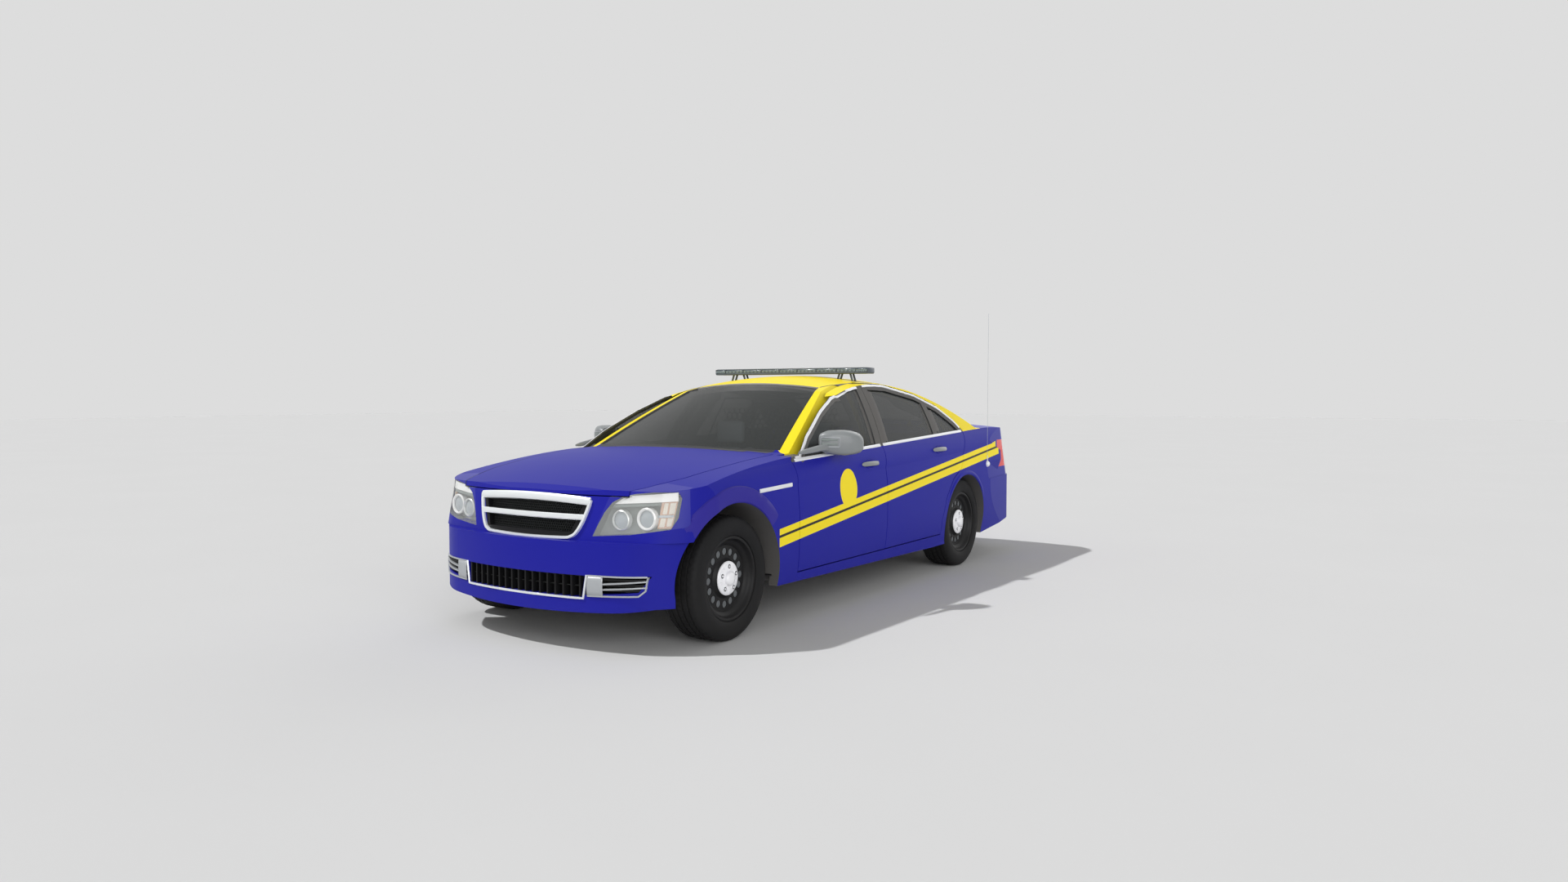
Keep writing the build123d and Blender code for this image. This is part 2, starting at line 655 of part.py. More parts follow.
# Running gear
CROSS_TOP_Z = 250.0
KINGPIN_RADIUS = 18.0
with BuildPart() as subframe:
    add(block(-460, 460, -60, 60, CROSS_TOP_Z - 36, CROSS_TOP_Z))
    add(block(-KINGPIN_X, KINGPIN_X, -KINGPIN_RADIUS, KINGPIN_RADIUS, CROSS_TOP_Z - 36, CROSS_TOP_Z - 12))
    for side in (-1, 1):
        add(rod(KINGPIN_RADIUS, (side * KINGPIN_X, 0, CROSS_TOP_Z - 36), (side * KINGPIN_X, 0, CROSS_TOP_Z - 12)))
    add(both_sides(block(RAIL_INNER_X, 440, -60, 60, CROSS_TOP_Z, 300)))
put(subframe.part, "front_subframe")
with BuildPart() as engine:
    add(block(-280, 280, -330, 300, CROSS_TOP_Z, 770))
put(engine.part, "engine")
with BuildPart() as radiator:
    add(block(-350, 350, -495, -455, 300, 740))
    add(within(inner, block(-740, 740, -660, -470, 250, 300)))
put(radiator.part, "radiator")

SPINDLE_RADIUS = 24.0
HUB_RADIUS = 120.0
with BuildPart() as knuckle:
    add(rod(KINGPIN_RADIUS, (KINGPIN_X, 0, CROSS_TOP_Z - 12), (KINGPIN_X, 0, 430)))
    add(rod(SPINDLE_RADIUS, (KINGPIN_X, 0, WHEEL_RADIUS), (850, 0, WHEEL_RADIUS)))
    add(rod(HUB_RADIUS, (744, 0, WHEEL_RADIUS), (766, 0, WHEEL_RADIUS)))
put_pair(knuckle.part, "knuckle")
with BuildPart() as rear_axle:
    add(rod(38, (-744, WHEELBASE, WHEEL_RADIUS), (744, WHEELBASE, WHEEL_RADIUS)))
    for side in (-1, 1):
        add(rod(SPINDLE_RADIUS, (side * 700, WHEELBASE, WHEEL_RADIUS), (side * 850, WHEELBASE, WHEEL_RADIUS)))
        add(rod(HUB_RADIUS, (side * 744, WHEELBASE, WHEEL_RADIUS), (side * 766, WHEELBASE, WHEEL_RADIUS)))
        add(block(side * 440 - 30, side * 440 + 30, WHEELBASE - 34, WHEELBASE + 34, 230, 370))
    add(floor_pan.part, mode=Mode.SUBTRACT)
    add(side_frames, mode=Mode.SUBTRACT)
put(rear_axle.part, "rear_axle")

# Wheels, drawn about their own axis and moved to the axle. Sections are (distance along the axle, radius)
TYRE_HALF = TYRE_WIDTH / 2
SEAT_RADIUS = RIM_RADIUS - 8
FLATS = 64
TYRE = [(-96, SEAT_RADIUS + 12), (-TYRE_HALF, 272), (-TYRE_HALF + 8, 312), (-88, WHEEL_RADIUS),
        (88, WHEEL_RADIUS), (TYRE_HALF - 8, 312), (TYRE_HALF, 272), (96, SEAT_RADIUS + 12)]
RIM_HALF = 98
RIM_WALL = 14
HOLES = 16
HOLE_RADIUS = 22.0
HOLE_CIRCLE = 141.0
CAP = [(72, 90), (84, 88), (94, 62), (106, 30), (108, 12)]


def drum(sections, sides=FLATS, face=Plane.YZ):
    """A many-sided turned form about a plane's normal, through its sections."""
    with BuildPart() as solid:
        for offset_x, radius in sections:
            with BuildSketch(face.offset(offset_x)):
                RegularPolygon(radius, sides)
        loft(ruled=True)
    return solid.part


with BuildPart() as tyre:
    add(drum(TYRE))
    add(drum([(-TYRE_HALF, SEAT_RADIUS), (TYRE_HALF, SEAT_RADIUS)]), mode=Mode.SUBTRACT)
with BuildPart() as rim:
    add(drum([(-RIM_HALF, SEAT_RADIUS), (RIM_HALF, SEAT_RADIUS)]))
    add(drum([(RIM_HALF, SEAT_RADIUS - RIM_WALL), (74, 194), (56, 188)]), mode=Mode.SUBTRACT)
    add(drum([(-RIM_HALF, SEAT_RADIUS - RIM_WALL), (-70, 200), (44, 192)]), mode=Mode.SUBTRACT)
    add(drum([(56, 106), (72, 92)]))
    with BuildSketch(Plane.YZ.offset(40)):
        with PolarLocations(HOLE_CIRCLE, HOLES):
            RegularPolygon(HOLE_RADIUS, 12)
    extrude(amount=40, mode=Mode.SUBTRACT)
    with BuildSketch(Plane.YZ.offset(-10)):
        Circle(60)
    extrude(amount=56)
    with BuildSketch(Plane.YZ.offset(-11)):
        Circle(SPINDLE_RADIUS + RUNNING_GAP / 4)
    extrude(amount=79, mode=Mode.SUBTRACT)
    add(drum(CAP))
for axle, station in (("front", 0), ("rear", WHEELBASE)):
    place = Location((WHEEL_CENTRE_X, FRONT_AXLE_Y + station, WHEEL_RADIUS))
    put_pair(tyre.part.moved(place), f"tyre_{axle}")
    put_pair(rim.part.moved(place), f"rim_{axle}")

# Cabin
SEAT_X = 375.0
WHEEL_HUB = (SEAT_X, 1030, 830)
COLUMN_TILT = 25.0
column = Plane(
    origin=(WHEEL_HUB[0], FRONT_AXLE_Y + WHEEL_HUB[1], WHEEL_HUB[2]),
    x_dir=(1, 0, 0),
    z_dir=(0, cos(radians(COLUMN_TILT)), sin(radians(COLUMN_TILT))),
)
with BuildPart() as dashboard:
    add(side_prism([(445, 600), (445, 862), (640, 900), (760, 925), (960, 915), (1000, 800), (960, 640)],
                   -760, 760))
    add(inner, mode=Mode.INTERSECT)
    with BuildSketch(column.offset(-30 - RUNNING_GAP)):
        Circle(26)
    extrude(amount=-120)
    add(firewall.part, mode=Mode.SUBTRACT)
    add(side_frames, mode=Mode.SUBTRACT)
put(dashboard.part, "dashboard")
with BuildPart() as front_seat:
    add(side_prism([(1130, 100), (1130, 440), (1160, 480), (1640, 440), (1640, 100)], SEAT_X - 255, SEAT_X + 255))
    add(side_prism([(1580, 440), (1690, 950), (1790, 950), (1730, 440)], SEAT_X - 240, SEAT_X + 240))
    add(side_prism([(1715, 900), (1700, 1010), (1715, 1130), (1780, 1130), (1790, 1010), (1760, 900)],
                   SEAT_X - 120, SEAT_X + 120))
    add(inner, mode=Mode.INTERSECT)
put(both_sides(front_seat.part), "front_seats")
with BuildPart() as rear_seat:
    add(side_prism([(2300, 100), (2300, 440), (2330, 480), (2860, 430), (2980, 940), (3130, 940), (2960, 420),
                    (2950, 100)], -600, 600))
    add(inner, mode=Mode.INTERSECT)
put(rear_seat.part, "rear_seat")
with BuildPart() as partition:
    add(front_prism([(-700, 100), (700, 100), (700, 930), (500, 1290), (-500, 1290), (-700, 930)], 1830, 1846))
    add(inner, mode=Mode.INTERSECT)
put(partition.part, "partition")

with BuildPart() as steering_wheel:
    add(drum([(-13, 184), (-6, 194), (6, 194), (13, 184)], 48, column))
    add(drum([(-13, 176), (-6, 166), (6, 166), (13, 176)], 48, column), mode=Mode.SUBTRACT)
    with BuildSketch(column.offset(-12)):
        Circle(60)
        Rectangle(344, 34)
    extrude(amount=18)
    with BuildSketch(column.offset(-30)):
        Circle(26)
    extrude(amount=20)
put(steering_wheel.part, "steering_wheel")

# Outside fittings
with BuildPart() as mirror_arm:
    add(block(800, 1068, 1082, 1150, 958, 1052))
    fillet(mirror_arm.edges().filter_by(Axis.Y), radius=30)
    add(outer, mode=Mode.SUBTRACT)
put_pair(mirror_arm.part, "mirror")
BAR_Z = 1452.0
with BuildPart() as light_bar:
    add(block(-650, 650, 1930, 2040, BAR_Z, BAR_Z + 44))
    for side in (-1, 1):
        for x in (390, 520):
            add(block(side * x - 20, side * x + 20, 1950, 2020, 1380, BAR_Z))
    add(outer, mode=Mode.SUBTRACT)
put(light_bar.part, "light_bar")
with BuildPart() as antennas:
    add(rod(4, (930, 3408, 770), (930, 3418, 1944)))
    add(rod(24, (900, 3408, 758), (960, 3408, 758)))
    add(outer, mode=Mode.SUBTRACT)
put(antennas.part, "antennas")
with BuildPart() as exhaust:
    add(rod(28, (-150, 460, 190), (-150, 3300, 150)))
    add(rod(28, (-150, 3290, 150), (-480, 3500, 150)))
    add(rod(28, (-480, 3490, 150), (-480, 4180, 230)))
    for x, s in ((-150, 700), (-150, 2600), (-480, 3900)):
        add(block(x - 6, x + 6, s, s + 16, 150, 330))
    add(outer, mode=Mode.SUBTRACT)
put(exhaust.part, "exhaust")
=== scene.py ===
"""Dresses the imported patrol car: paint and livery, glass, lamps, wheels, trim, cabin, floor and camera."""

import json
from math import cos, hypot, pi, radians, sin, tau

import bmesh
import bpy
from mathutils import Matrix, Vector
from mathutils.bvhtree import BVHTree


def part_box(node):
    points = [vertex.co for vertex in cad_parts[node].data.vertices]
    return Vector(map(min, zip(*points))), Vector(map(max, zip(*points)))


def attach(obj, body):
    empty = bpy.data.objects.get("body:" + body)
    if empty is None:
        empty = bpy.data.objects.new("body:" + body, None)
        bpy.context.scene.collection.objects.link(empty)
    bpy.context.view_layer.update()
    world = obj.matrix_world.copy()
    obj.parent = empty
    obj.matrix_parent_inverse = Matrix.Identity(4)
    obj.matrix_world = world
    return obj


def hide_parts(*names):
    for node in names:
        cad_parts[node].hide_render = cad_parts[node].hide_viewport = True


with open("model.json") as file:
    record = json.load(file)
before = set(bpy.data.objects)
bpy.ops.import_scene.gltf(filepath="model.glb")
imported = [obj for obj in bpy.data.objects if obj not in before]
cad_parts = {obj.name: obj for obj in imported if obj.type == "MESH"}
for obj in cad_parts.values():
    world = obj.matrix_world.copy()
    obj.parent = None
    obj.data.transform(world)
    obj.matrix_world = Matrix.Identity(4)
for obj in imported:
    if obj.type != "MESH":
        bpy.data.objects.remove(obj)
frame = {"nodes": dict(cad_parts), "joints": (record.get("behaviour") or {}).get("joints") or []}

bl_info = {
    "name": "Patrol car finish",
    "version": (1, 0, 0),
    "blender": (4, 5, 0),
    "location": "3D View > Sidebar > Patrol car",
    "description": "Builds the trim, lamps, wheels, cabin and materials of a patrol car round its CAD frame",
    "category": "Object",
}

NODES = frame["nodes"]
JOINTS = {joint["name"]: joint for joint in frame["joints"]}
AXLE_Y = JOINTS["steer_left"]["pos_m"][1]
WHEELBASE = JOINTS["wheel_spin_rear_left"]["pos_m"][1] - AXLE_Y
WHEEL_X = JOINTS["wheel_spin_front_left"]["pos_m"][0]
WHEEL_Z = JOINTS["wheel_spin_front_left"]["pos_m"][2]
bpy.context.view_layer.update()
SIDES = (("left", 1), ("right", -1))


def at(x, station, z):
    """A point in metres from millimetres, with the station measured back from the front axle."""
    return Vector((x / 1000, AXLE_Y + station / 1000, z / 1000))


# Shader groups and materials by name, filled by the operator of the finishes
GROUPS = {}
MATERIALS = {}


# Mesh helpers


def add_piece(name, verts, faces, finish, body, slot, smooth=True, side=1):
    """Makes a mesh object that rides on a body; side -1 mirrors it across the car's middle."""
    mesh = bpy.data.meshes.new(name)
    mesh.from_pydata([(v[0] * side, v[1], v[2]) for v in verts], [], faces)
    if side < 0:
        mesh.flip_normals()
    piece = bpy.data.objects.new(name, mesh)
    bpy.context.scene.collection.objects.link(piece)
    mesh.materials.append(MATERIALS[finish])
    if smooth:
        mesh.shade_smooth()
        mesh.set_sharp_from_angle(angle=radians(38))
    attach(piece, body)
    return piece


def add_modifier(piece, kind, **settings):
    """Adds a modifier with its settings."""
    modifier = piece.modifiers.new(kind.lower(), kind)
    for key, value in settings.items():
        setattr(modifier, key, value)
    return modifier


def joined(*parts):
    """One vertex and face list from several."""
    verts = []
    faces = []
    for part_verts, part_faces in parts:
        base = len(verts)
        verts.extend(part_verts)
        faces.extend([tuple(i + base for i in face) for face in part_faces])
    return verts, faces


def quads(rows, size, loop=True, loop_rows=False, flip=False):
    """Faces between rows of points; loop joins each row's ends, and loop_rows the last row to the first."""
    faces = []
    for i in range(rows if loop_rows else rows - 1):
        j = (i + 1) % rows
        for k in range(size if loop else size - 1):
            m = (k + 1) % size
            face = (i * size + k, i * size + m, j * size + m, j * size + k)
            faces.append((face[0], face[3], face[2], face[1]) if flip else face)
    return faces


def circle(u, v, radius, count):
    """Points of a circle round the origin, in the plane of u and v."""
    return [(u * cos(tau * k / count) + v * sin(tau * k / count)) * radius for k in range(count)]


def turned(profile, segments, centre, axis=(1, 0, 0)):
    """A surface of revolution from (distance along axis, radius) points, in metres."""
    axis = Vector(axis).normalized()
    u = axis.orthogonal().normalized()
    v = axis.cross(u)
    verts = []
    for along, radius in profile:
        verts += [Vector(centre) + axis * along + p for p in circle(u, v, radius, segments)]
    return verts, quads(len(profile), segments, flip=True)


def directions(points, closed):
    """The unit direction of a path at each of its points."""
    count = len(points)
    result = []
    for i, point in enumerate(points):
        before = points[(i - 1) % count] if closed or i > 0 else point
        after = points[(i + 1) % count] if closed or i < count - 1 else point
        result.append((after - before).normalized())
    return result


def tube(points, radius, sides=12, closed=False):
    """A round bar along points."""
    points = [Vector(p) for p in points]
    count = len(points)
    verts = []
    normal = None
    for point, direction in zip(points, directions(points, closed)):
        if normal is None:
            normal = direction.orthogonal().normalized()
        normal = (normal - direction * normal.dot(direction)).normalized()
        verts += [point + p for p in circle(normal, direction.cross(normal), radius, sides)]
    faces = quads(count, sides, loop_rows=closed)
    if not closed:
        faces.append(tuple(reversed(range(sides))))
        faces.append(tuple(range((count - 1) * sides, count * sides)))
    return verts, faces


def strip(points, normals, half_width, lift, base=-0.002):
    """A crowned strip along points that lie on a surface, standing up along the normals."""
    points = [Vector(p) for p in points]
    shape = [(-1.0, base), (-1.0, lift * 0.45), (-0.72, lift * 0.9), (0.0, lift), (0.72, lift * 0.9),
             (1.0, lift * 0.45), (1.0, base)]
    verts = []
    for point, direction, normal in zip(points, directions(points, False), normals):
        normal = (normal - direction * normal.dot(direction)).normalized()
        across = direction.cross(normal)
        verts += [point + across * (w * half_width) + normal * h for w, h in shape]
    count, size = len(points), len(shape)
    faces = quads(count, size, flip=True)
    faces.append(tuple(range(size)))
    faces.append(tuple(reversed(range((count - 1) * size, count * size))))
    return verts, faces


def rounded_box(low, high, radius, segments=3):
    """A box with rounded edges, from its corners."""
    low, high = Vector(low), Vector(high)
    bm = bmesh.new()
    bmesh.ops.create_cube(bm, size=1.0)
    for vert in bm.verts:
        vert.co = Vector(((low[i] + high[i]) / 2 + vert.co[i] * (high[i] - low[i]) for i in range(3)))
    bmesh.ops.bevel(bm, geom=bm.edges[:], offset=radius, segments=segments, profile=0.5, affect="EDGES",
                    clamp_overlap=True)
    verts = [v.co.copy() for v in bm.verts]
    bm.verts.index_update()
    faces = [tuple(v.index for v in face.verts) for face in bm.faces]
    bm.free()
    return verts, faces


def smooth_path(points, steps=8):
    """A Catmull-Rom curve through points."""
    last = len(points) - 1
    result = []
    for i in range(last):
        p0, p1, p2, p3 = points[max(i - 1, 0)], points[i], points[i + 1], points[min(i + 2, last)]
        for step in range(steps):
            t = step / steps
            result.append(0.5 * (2 * p1 + (p2 - p0) * t + (2 * p0 - 5 * p1 + 4 * p2 - p3) * t * t
                                 + (3 * p1 - p0 - 3 * p2 + p3) * t * t * t))
    result.append(points[-1])
    return result


# Reading the surfaces of the CAD nodes


def surface_tree(*names):
    """A search tree over the faces of some nodes."""
    verts = []
    faces = []
    for name in names:
        mesh = NODES[name].data
        base = len(verts)
        verts.extend([v.co.copy() for v in mesh.vertices])
        faces.extend([tuple(i + base for i in p.vertices) for p in mesh.polygons])
    return BVHTree.FromPolygons(verts, faces)


def on_side(tree, station, z):
    """The point and normal of the left skin at a station and height, in mm."""
    hit, normal, _, _ = tree.ray_cast(at(1400, station, z), Vector((-1, 0, 0)))
    if hit is None:
        hit, normal, _, _ = tree.find_nearest(at(900, station, z))
    if normal.x < 0:
        normal = -normal
    return hit, normal


def on_front(tree, x, z):
    """The point and normal of the front skin at a half width and height, in mm."""
    hit, normal, _, _ = tree.ray_cast(at(x, -1200, z), Vector((0, 1, 0)))
    if hit is None:
        hit, normal, _, _ = tree.find_nearest(at(x, -600, z))
    if normal.y > 0:
        normal = -normal
    return hit, normal


def on_top(tree, x, station):
    """The point and normal of the top skin at a half width and station, in mm."""
    hit, normal, _, _ = tree.ray_cast(at(x, station, 2200), Vector((0, 0, -1)))
    if hit is None:
        hit, normal, _, _ = tree.find_nearest(at(x, station, 1100))
    return hit, normal


# Material helpers


class Sheet:
    """Short calls for building a node tree."""

    def __init__(self, tree):
        self.tree = tree

    def node(self, kind, **settings):
        """Adds a node with its settings."""
        node = self.tree.nodes.new(kind)
        for key, value in settings.items():
            setattr(node, key, value)
        return node

    def put(self, socket, value):
        """Links a socket to another, or sets its value."""
        if isinstance(value, bpy.types.NodeSocket):
            self.tree.links.new(value, socket)
        else:
            socket.default_value = value

    def math(self, operation, a, b=0.0, c=0.0, clamp=False):
        """The result of a Math node."""
        node = self.node("ShaderNodeMath", operation=operation, use_clamp=clamp)
        for socket, value in zip(node.inputs, (a, b, c)):
            self.put(socket, value)
        return node.outputs[0]

    def mix(self, factor, a, b):
        """Colour a turning into colour b with the factor."""
        node = self.node("ShaderNodeMix", data_type="RGBA")
        self.put(node.inputs["Factor"], factor)
        self.put(node.inputs[6], a)
        self.put(node.inputs[7], b)
        return node.outputs[2]

    def noise(self, vector, scale, detail=3.0, roughness=0.55):
        """The value of a noise texture."""
        node = self.node("ShaderNodeTexNoise")
        self.put(node.inputs["Vector"], vector)
        node.inputs["Scale"].default_value = scale
        node.inputs["Detail"].default_value = detail
        node.inputs["Roughness"].default_value = roughness
        return node.outputs[0]

    def spread(self, value, from_low, from_high, to_low=0.0, to_high=1.0):
        """A value carried from one range to another, without leaving it."""
        node = self.node("ShaderNodeMapRange")
        self.put(node.inputs[0], value)
        for socket, number in zip(node.inputs[1:5], (from_low, from_high, to_low, to_high)):
            self.put(socket, number)
        return node.outputs[0]

    def place(self):
        """The place of a point in the car's own frame."""
        return self.node("ShaderNodeTexCoord").outputs["Object"]

    def bump(self, height, strength, distance):
        """A normal bent by a height."""
        node = self.node("ShaderNodeBump")
        node.inputs["Strength"].default_value = strength
        node.inputs["Distance"].default_value = distance
        self.put(node.inputs["Height"], height)
        return node.outputs["Normal"]

    def group(self, tree, **values):
        """A node group with values for its named inputs."""
        node = self.node("ShaderNodeGroup")
        node.node_tree = tree
        for key, value in values.items():
            self.put(node.inputs[key.replace("_", " ")], value)
        return node


def new_group(name, inputs, outputs):
    """A node group with named sockets, and its input and output nodes."""
    tree = bpy.data.node_groups.new(name, "ShaderNodeTree")
    for label, kind, default in inputs:
        socket = tree.interface.new_socket(label, in_out="INPUT", socket_type=kind)
        socket.default_value = default
    for label, kind in outputs:
        tree.interface.new_socket(label, in_out="OUTPUT", socket_type=kind)
    sheet = Sheet(tree)
    return sheet, sheet.node("NodeGroupInput").outputs, sheet.node("NodeGroupOutput").inputs


FLOAT = "NodeSocketFloat"
COLOR = "NodeSocketColor"


def make_wear_group():
    """Soft patches of colour change and dust that settles low down, for paint, plastic and steel."""
    sheet, given, out = new_group(
        "Wear and dust",
        [("Colour", COLOR, (0.5, 0.5, 0.5, 1)), ("Dust colour", COLOR, (0.20, 0.19, 0.17, 1)),
         ("Patch scale", FLOAT, 6.0), ("Patch depth", FLOAT, 0.06), ("Dust", FLOAT, 0.2),
         ("Roughness", FLOAT, 0.4)],
        [("Colour", COLOR), ("Roughness", FLOAT), ("Height", FLOAT)],
    )
    place = sheet.place()
    scaled = sheet.node("ShaderNodeVectorMath", operation="SCALE")
    sheet.put(scaled.inputs[0], place)
    sheet.put(scaled.inputs["Scale"], given["Patch scale"])
    patches = sheet.noise(scaled.outputs[0], 1.0, 4.0)
    grain = sheet.noise(place, 420.0, 2.0)
    parts = sheet.node("ShaderNodeSeparateXYZ")
    sheet.put(parts.inputs[0], place)
    low = sheet.spread(parts.outputs["Z"], 0.55, 0.12)
    dust = sheet.math("MULTIPLY", sheet.math("MULTIPLY", low, patches), given["Dust"], clamp=True)
    shift = sheet.math("MULTIPLY", sheet.math("SUBTRACT", patches, 0.5), given["Patch depth"])
    hsv = sheet.node("ShaderNodeHueSaturation")
    sheet.put(hsv.inputs["Color"], given["Colour"])
    sheet.put(hsv.inputs["Value"], sheet.math("ADD", shift, 1.0))
    sheet.put(out["Colour"], sheet.mix(dust, hsv.outputs[0], given["Dust colour"]))
    rough = sheet.math("ADD", given["Roughness"], sheet.math("MULTIPLY", dust, 0.5))
    rough = sheet.math("ADD", rough, sheet.math("MULTIPLY", shift, 0.8), clamp=True)
    sheet.put(out["Roughness"], rough)
    sheet.put(out["Height"], grain)
    return sheet.tree


# Livery places in metres behind the front axle and over the floor: the belt line as (station, height, slope),
# the door disc as (station, height, times taller than wide), the stripe's two ends, the middle line's share of
# the stripe's width, the yellow top's slanted foot as (half width, slope, station) and its end at the tail, and
# the half width from which the livery starts
BELT_LINE = (0.625, 0.920, 0.0435)
DISC_PLACE = (1.185, 0.727, 1.16)
STRIPE_ENDS = (0.395, 3.662)
MIDDLE_LINE_SHARE = 0.58
TOP_FOOT = (0.890, 0.572, 0.618)
TOP_END = 3.40
LIVERY_SIDE = 0.80


def make_livery_group():
    """Masks of the side stripe, its dark middle line, the door disc, the yellow top and the window frames."""
    sheet, given, out = new_group(
        "Livery masks",
        [("Band slope", FLOAT, 0.1141), ("Band bottom", FLOAT, 0.4105), ("Band width", FLOAT, 0.102),
         ("Line width", FLOAT, 0.015), ("Disc radius", FLOAT, 0.105)],
        [("Yellow side", FLOAT), ("Middle line", FLOAT), ("Above belt", FLOAT), ("Yellow top", FLOAT)],
    )
    parts = sheet.node("ShaderNodeSeparateXYZ")
    sheet.put(parts.inputs[0], sheet.place())
    x, y, z = parts.outputs
    half = sheet.math("ABSOLUTE", x)
    station = sheet.math("SUBTRACT", y, AXLE_Y)
    outside = sheet.math("GREATER_THAN", half, LIVERY_SIDE)
    # Height over the stripe's lower edge, and the share of the stripe that the middle line takes
    rise = sheet.math("MULTIPLY_ADD", station, given["Band slope"], given["Band bottom"])
    over = sheet.math("SUBTRACT", z, rise)
    inside = sheet.math("MULTIPLY", sheet.math("GREATER_THAN", over, 0.0),
                        sheet.math("LESS_THAN", over, given["Band width"]))
    ends = sheet.math("MULTIPLY", sheet.math("GREATER_THAN", station, STRIPE_ENDS[0]),
                      sheet.math("LESS_THAN", station, STRIPE_ENDS[1]))
    centre = sheet.math("MULTIPLY", given["Band width"], MIDDLE_LINE_SHARE)
    off_centre = sheet.math("ABSOLUTE", sheet.math("SUBTRACT", over, centre))
    line = sheet.math("LESS_THAN", off_centre, sheet.math("MULTIPLY", given["Line width"], 0.5))
    band = sheet.math("MULTIPLY", sheet.math("MULTIPLY", inside, ends), outside)
    dy = sheet.math("SUBTRACT", station, DISC_PLACE[0])
    dz = sheet.math("DIVIDE", sheet.math("SUBTRACT", z, DISC_PLACE[1]), DISC_PLACE[2])
    reach = sheet.math("SQRT", sheet.math("ADD", sheet.math("POWER", dy, 2.0), sheet.math("POWER", dz, 2.0)))
    disc = sheet.math("MULTIPLY", sheet.math("LESS_THAN", reach, given["Disc radius"]), outside)
    band_line = sheet.math("MULTIPLY", band, line)
    yellow = sheet.math("SUBTRACT", sheet.math("MAXIMUM", band, disc), band_line, clamp=True)
    # The belt line climbs to the rear
    belt = sheet.math("MULTIPLY_ADD", sheet.math("SUBTRACT", station, BELT_LINE[0]), BELT_LINE[2], BELT_LINE[1])
    above = sheet.math("GREATER_THAN", z, belt)
    # The yellow top starts on a slant at the windscreen pillar's foot and ends at the rear pillar's tail
    foot = sheet.math("MULTIPLY_ADD", sheet.math("SUBTRACT", TOP_FOOT[0], half), TOP_FOOT[1], TOP_FOOT[2])
    behind_foot = sheet.math("GREATER_THAN", station, foot)
    tail = sheet.math("LESS_THAN", station, TOP_END)
    top = sheet.math("MULTIPLY", sheet.math("MULTIPLY", above, behind_foot), tail)
    sheet.put(out["Yellow side"], yellow)
    sheet.put(out["Middle line"], band_line)
    sheet.put(out["Above belt"], above)
    sheet.put(out["Yellow top"], top)
    return sheet.tree


def new_material(name):
    """A material with only its Principled shader, and a sheet for its nodes."""
    material = bpy.data.materials.new(name)
    material.use_nodes = True
    sheet = Sheet(material.node_tree)
    shader = material.node_tree.nodes["Principled BSDF"]
    MATERIALS[name] = material
    return material, sheet, shader


def plain_finish(name, colour, roughness, metallic=0.0, coat=0.0, patch_scale=6.0, patch_depth=0.06, dust=0.15,
                 bump=0.02, alpha=1.0, specular=0.5):
    """A finish of one colour with soft patches, dust low down and a fine grain."""
    _, sheet, shader = new_material(name)
    wear = sheet.group(GROUPS["wear"], Colour=(*colour, 1), Patch_scale=patch_scale, Patch_depth=patch_depth,
                       Dust=dust, Roughness=roughness)
    sheet.put(shader.inputs["Base Color"], wear.outputs["Colour"])
    sheet.put(shader.inputs["Roughness"], wear.outputs["Roughness"])
    if bump:
        sheet.put(shader.inputs["Normal"], sheet.bump(wear.outputs["Height"], bump, 0.0004))
    shader.inputs["Metallic"].default_value = metallic
    shader.inputs["Coat Weight"].default_value = coat
    shader.inputs["Coat Roughness"].default_value = 0.04
    shader.inputs["Specular IOR Level"].default_value = specular
    shader.inputs["IOR"].default_value = 1.45
    shader.inputs["Alpha"].default_value = alpha


# The clear part of a headlamp seen from the front: (half width, height) in mm, anticlockwise
LENS_OUTLINE = [(428, 583), (640, 598), (817, 626), (842, 690), (846, 788), (832, 819), (730, 818), (640, 808),
                (575, 793), (520, 763), (482, 712), (454, 650)]


def lens_finish(name, paint):
    """The clear lamp lens inside its outline, and body paint round it."""
    _, sheet, shader = new_material(name)
    parts = sheet.node("ShaderNodeSeparateXYZ")
    sheet.put(parts.inputs[0], sheet.place())
    half = sheet.math("ABSOLUTE", parts.outputs["X"])
    inside = 1.0
    for (x0, z0), (x1, z1) in zip(LENS_OUTLINE, LENS_OUTLINE[1:] + LENS_OUTLINE[:1]):
        length = hypot(x1 - x0, z1 - z0)
        a, b = -(z1 - z0) / length, (x1 - x0) / length
        across = sheet.math("MULTIPLY_ADD", half, a, -(a * x0 + b * z0) / 1000)
        over = sheet.math("MULTIPLY_ADD", parts.outputs["Z"], b, across)
        inside = sheet.math("MULTIPLY", inside, sheet.math("GREATER_THAN", over, 0.0))
    colour = sheet.mix(inside, (*paint, 1), (0.78, 0.80, 0.78, 1))
    wear = sheet.group(GROUPS["wear"], Colour=colour, Patch_scale=4.0, Patch_depth=0.03, Dust=0.02,
                       Roughness=sheet.spread(inside, 0.0, 1.0, 0.42, 0.05))
    sheet.put(shader.inputs["Base Color"], wear.outputs["Colour"])
    sheet.put(shader.inputs["Roughness"], wear.outputs["Roughness"])
    sheet.put(shader.inputs["Alpha"], sheet.spread(inside, 0.0, 1.0, 1.0, 0.22))
    shader.inputs["Specular IOR Level"].default_value = 0.35


